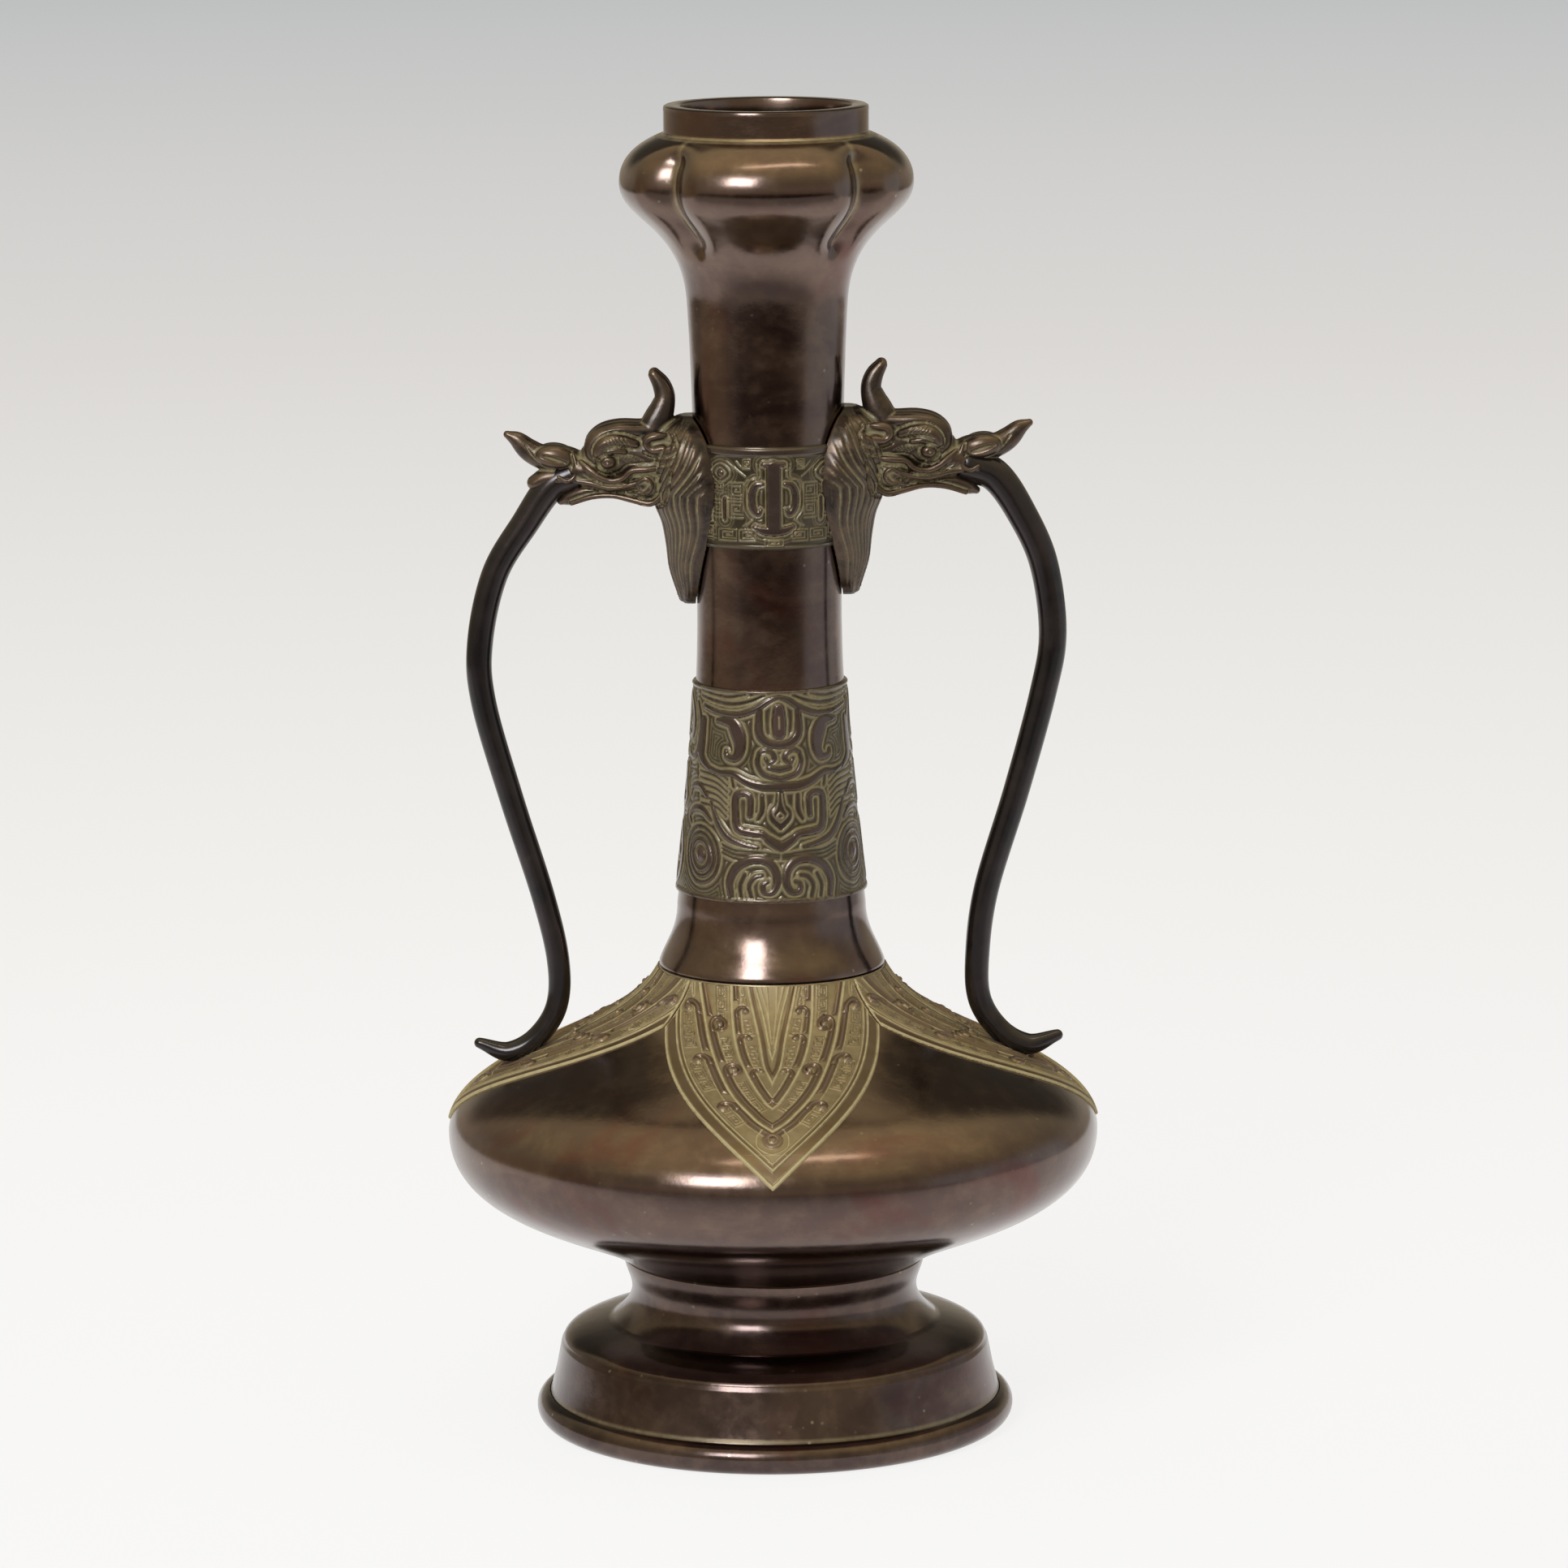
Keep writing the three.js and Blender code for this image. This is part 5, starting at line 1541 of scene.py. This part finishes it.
class VASE_OT_rivets(Operator):
    """Gives the rivets and pins that hold the handles their dull bronze"""

    bl_idname = "vase.rivets"
    bl_label = "Rivets and Pins"

    def execute(self, context):
        for name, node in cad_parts.items():
            if "rivet" in name or "pin" in name:
                for place in node.material_slots:
                    place.material = bronzes("dull_plain")
        return {"FINISHED"}


# Floor, light and camera


def floor_finish():
    """A pale floor that the camera sees as painted, darkening with distance as a painted falloff of
    light, and that the metal mirrors darker in front as painted shade.
    """
    material, start = empty_material("pale_floor")
    place = start.node("ShaderNodeTexCoord", out="Object")
    # The floor's colour darkens away from the vase: a painted falloff of the light
    stops = [
        (0.0, (0.95, 0.945, 0.935)), (0.06, (0.94, 0.93, 0.915)), (0.16, (0.87, 0.855, 0.825)),
        (0.34, (0.74, 0.72, 0.70)), (0.6, (0.62, 0.62, 0.615)), (1.0, (0.47, 0.49, 0.50)),
    ]
    tint = start.node("ShaderNodeValToRGB", {"stops": stops}, {"Fac": far_out(place)})
    seen = start.node("ShaderNodeLightPath", out="Is Camera Ray")
    mirrored = start.node("ShaderNodeLightPath", out="Is Glossy Ray")
    # Seen in the metal, the floor is darker in front: painted shade on the front of the floor
    front = place.coordinate("Y") * -1
    tint = (mirrored * front.between(0.1, 0.5) * 0.65).blend(tint, (0.10, 0.085, 0.07))
    painted = start.node("ShaderNodeBsdfDiffuse", None, {"Color": tint})
    glow = start.node("ShaderNodeEmission", None, {"Color": tint, "Strength": 1.05})
    values = {0: (seen + mirrored) * 0.85, 1: painted, 2: glow}
    cover(start.node("ShaderNodeMixShader", None, values))
    return material


def room_finish():
    """The room that only the polished metal mirrors: golden above, dark below and behind."""
    material, start = empty_material("room")
    place = start.node("ShaderNodeTexCoord", out="Object")
    right, behind, height = (place.coordinate(axis) * (1 / ROOM_RADIUS) for axis in "XYZ")
    aside = right.node("ShaderNodeMath", {"operation": "ABSOLUTE"}, {0: right})
    stops = [
        (0.0, (0.10, 0.08, 0.06)), (0.42, (0.13, 0.095, 0.065)), (0.475, (0.36, 0.30, 0.22)),
        (0.56, (0.46, 0.40, 0.31)), (0.68, (0.40, 0.36, 0.25)), (0.76, (0.50, 0.45, 0.29)),
        (0.85, (0.70, 0.62, 0.38)), (0.95, (0.95, 0.83, 0.50)),
    ]
    tint = start.node("ShaderNodeValToRGB", {"stops": stops}, {"Fac": height * 0.5 + 0.5})
    low = 1 - height.between(0.1, 0.5)
    tint = (right.between(0.74, 0.9) * low).blend(tint, (0.52, 0.56, 0.58))
    tint = ((right * -1).between(0.8, 0.96) * low).blend(tint, (0.36, 0.29, 0.19))
    under = (behind * -1 - aside * 0.6).between(0.0, 0.2) * (1 - height.between(-0.12, -0.05))
    tint = under.blend(tint, (0.045, 0.025, 0.015))
    dark = (behind - aside * 1.25).between(-0.08, 0.12) * height.between(0.1, 0.35)
    dark = dark * (1 - height.between(0.77, 0.88)) * 0.9
    tint = dark.blend(tint, (0.05, 0.045, 0.04))
    glow = start.node("ShaderNodeEmission", None, {"Color": tint, "Strength": 1.0})
    clear = start.node("ShaderNodeBsdfTransparent")
    mirrored = start.node("ShaderNodeLightPath", out="Is Glossy Ray")
    cover(start.node("ShaderNodeMixShader", None, {0: mirrored, 1: clear, 2: glow}))
    return material


def far_out(place):
    """Distance from the vase, as a share of the reach of the floor's shading."""
    settings = {"operation": "LENGTH"}
    distance = place.node("ShaderNodeVectorMath", settings, {0: place}, out="Value")
    return distance * (1 / FLOOR_REACH)


def lamp(name, around, above, distance, wide, tall, power, tint):
    """A square lamp aimed at the vase; around is in degrees from the front, towards the right."""
    a, b = math.radians(around), math.radians(above)
    spot = (distance * math.sin(a) * math.cos(b), -distance * math.cos(a) * math.cos(b),
            0.2 + distance * math.sin(b))
    start_clean()
    bpy.ops.object.light_add(type="AREA", location=spot, rotation=(math.pi / 2 - b, 0, a))
    made = bpy.context.object
    made.name = name
    made.data.shape = "RECTANGLE"
    made.data.size = wide
    made.data.size_y = tall
    made.data.energy = power
    made.data.color = tint


class VASE_OT_stage(Operator):
    """Sets the vase on a pale floor in soft window light, and places the camera"""

    bl_idname = "vase.stage"
    bl_label = "Stage"

    def execute(self, context):
        start_clean()
        bpy.ops.mesh.primitive_plane_add(size=2)
        floor = named("floor")
        set_places(floor, get_places(floor) * (1.25, 5, 1) + (0, 4000, -0.2))
        floor.data.materials.append(floor_finish())
        start_clean()
        bpy.ops.mesh.primitive_uv_sphere_add(segments=64, ring_count=32, radius=ROOM_RADIUS)
        room = named("room")
        room.data.materials.append(room_finish())
        scene = context.scene
        world = scene.world or bpy.data.worlds.new("Room")
        scene.world = world
        world.use_nodes = True
        air = world.node_tree.nodes["Background"]
        air.inputs["Color"].default_value = (0.95, 0.92, 0.88, 1)
        air.inputs["Strength"].default_value = 0.38
        daylight, warm_light = (0.9, 0.96, 1.03), (1.0, 0.92, 0.75)
        lamp("Window", around=-21, above=29, distance=2.2, wide=0.72, tall=0.75, power=20,
             tint=daylight)
        lamp("Window Glow", around=-21, above=31, distance=2.25, wide=1.0, tall=1.2, power=6,
             tint=daylight)
        lamp("Ceiling Light", around=18, above=75, distance=1.9, wide=1.2, tall=0.13, power=3,
             tint=warm_light)
        camera_data = bpy.data.cameras.new("Camera")
        camera_data.lens = 163.1
        camera_data.sensor_width = 36
        camera_data.clip_end = 50
        camera = bpy.data.objects.new("Camera", camera_data)
        scene.collection.objects.link(camera)
        camera.rotation_mode = "XYZ"
        camera.location = (0.0038, -2.0, 0.541)
        looks_down, leans = 10.07, -0.39
        tilt = Matrix.Rotation(math.radians(90 - looks_down), 3, "X")
        roll = Matrix.Rotation(math.radians(leans), 3, "Z")
        camera.rotation_euler = (tilt @ roll).to_euler()
        scene.camera = camera
        scene.view_settings.view_transform = "Standard"
        return {"FINISHED"}


class VASE_PT_panel(Panel):
    """Lists the vase's pieces"""

    bl_idname = "VASE_PT_panel"
    bl_label = "Garlic-Mouth Vase"
    bl_space_type = "VIEW_3D"
    bl_region_type = "UI"
    bl_category = "Vase"

    def draw(self, context):
        """Shows a button for each piece, and the sizes and colours."""
        layout = self.layout
        for operator in OPERATORS:
            layout.operator(operator.bl_idname)
        for group in (context.scene.vase_sizes, context.scene.vase_finish):
            box = layout.box()
            for name in type(group).__annotations__:
                box.prop(group, name)


OPERATORS = (
    VASE_OT_neck, VASE_OT_body, VASE_OT_foot, VASE_OT_base_plate, VASE_OT_mask_band,
    VASE_OT_fret_band, VASE_OT_shoulder_leaves, VASE_OT_dragon_heads, VASE_OT_handle_straps,
    VASE_OT_rivets, VASE_OT_stage,
)
CLASSES = (VaseSizes, VaseFinish, *OPERATORS, VASE_PT_panel)


def register():
    """Adds the operators, the panel and the vase's sizes and colours."""
    for cls in CLASSES:
        bpy.utils.register_class(cls)
    bpy.types.Scene.vase_sizes = PointerProperty(type=VaseSizes)
    bpy.types.Scene.vase_finish = PointerProperty(type=VaseFinish)


def unregister():
    """Takes away what register adds."""
    del bpy.types.Scene.vase_finish
    del bpy.types.Scene.vase_sizes
    for cls in reversed(CLASSES):
        bpy.utils.unregister_class(cls)


def main():
    """Builds every piece and the stage."""
    register()
    bpy.ops.vase.neck()
    bpy.ops.vase.body()
    bpy.ops.vase.foot()
    bpy.ops.vase.base_plate()
    bpy.ops.vase.mask_band()
    bpy.ops.vase.fret_band()
    bpy.ops.vase.shoulder_leaves()
    bpy.ops.vase.dragon_heads()
    bpy.ops.vase.handle_straps()
    bpy.ops.vase.rivets()
    bpy.ops.vase.stage()


if __name__ == "__main__":
    main()
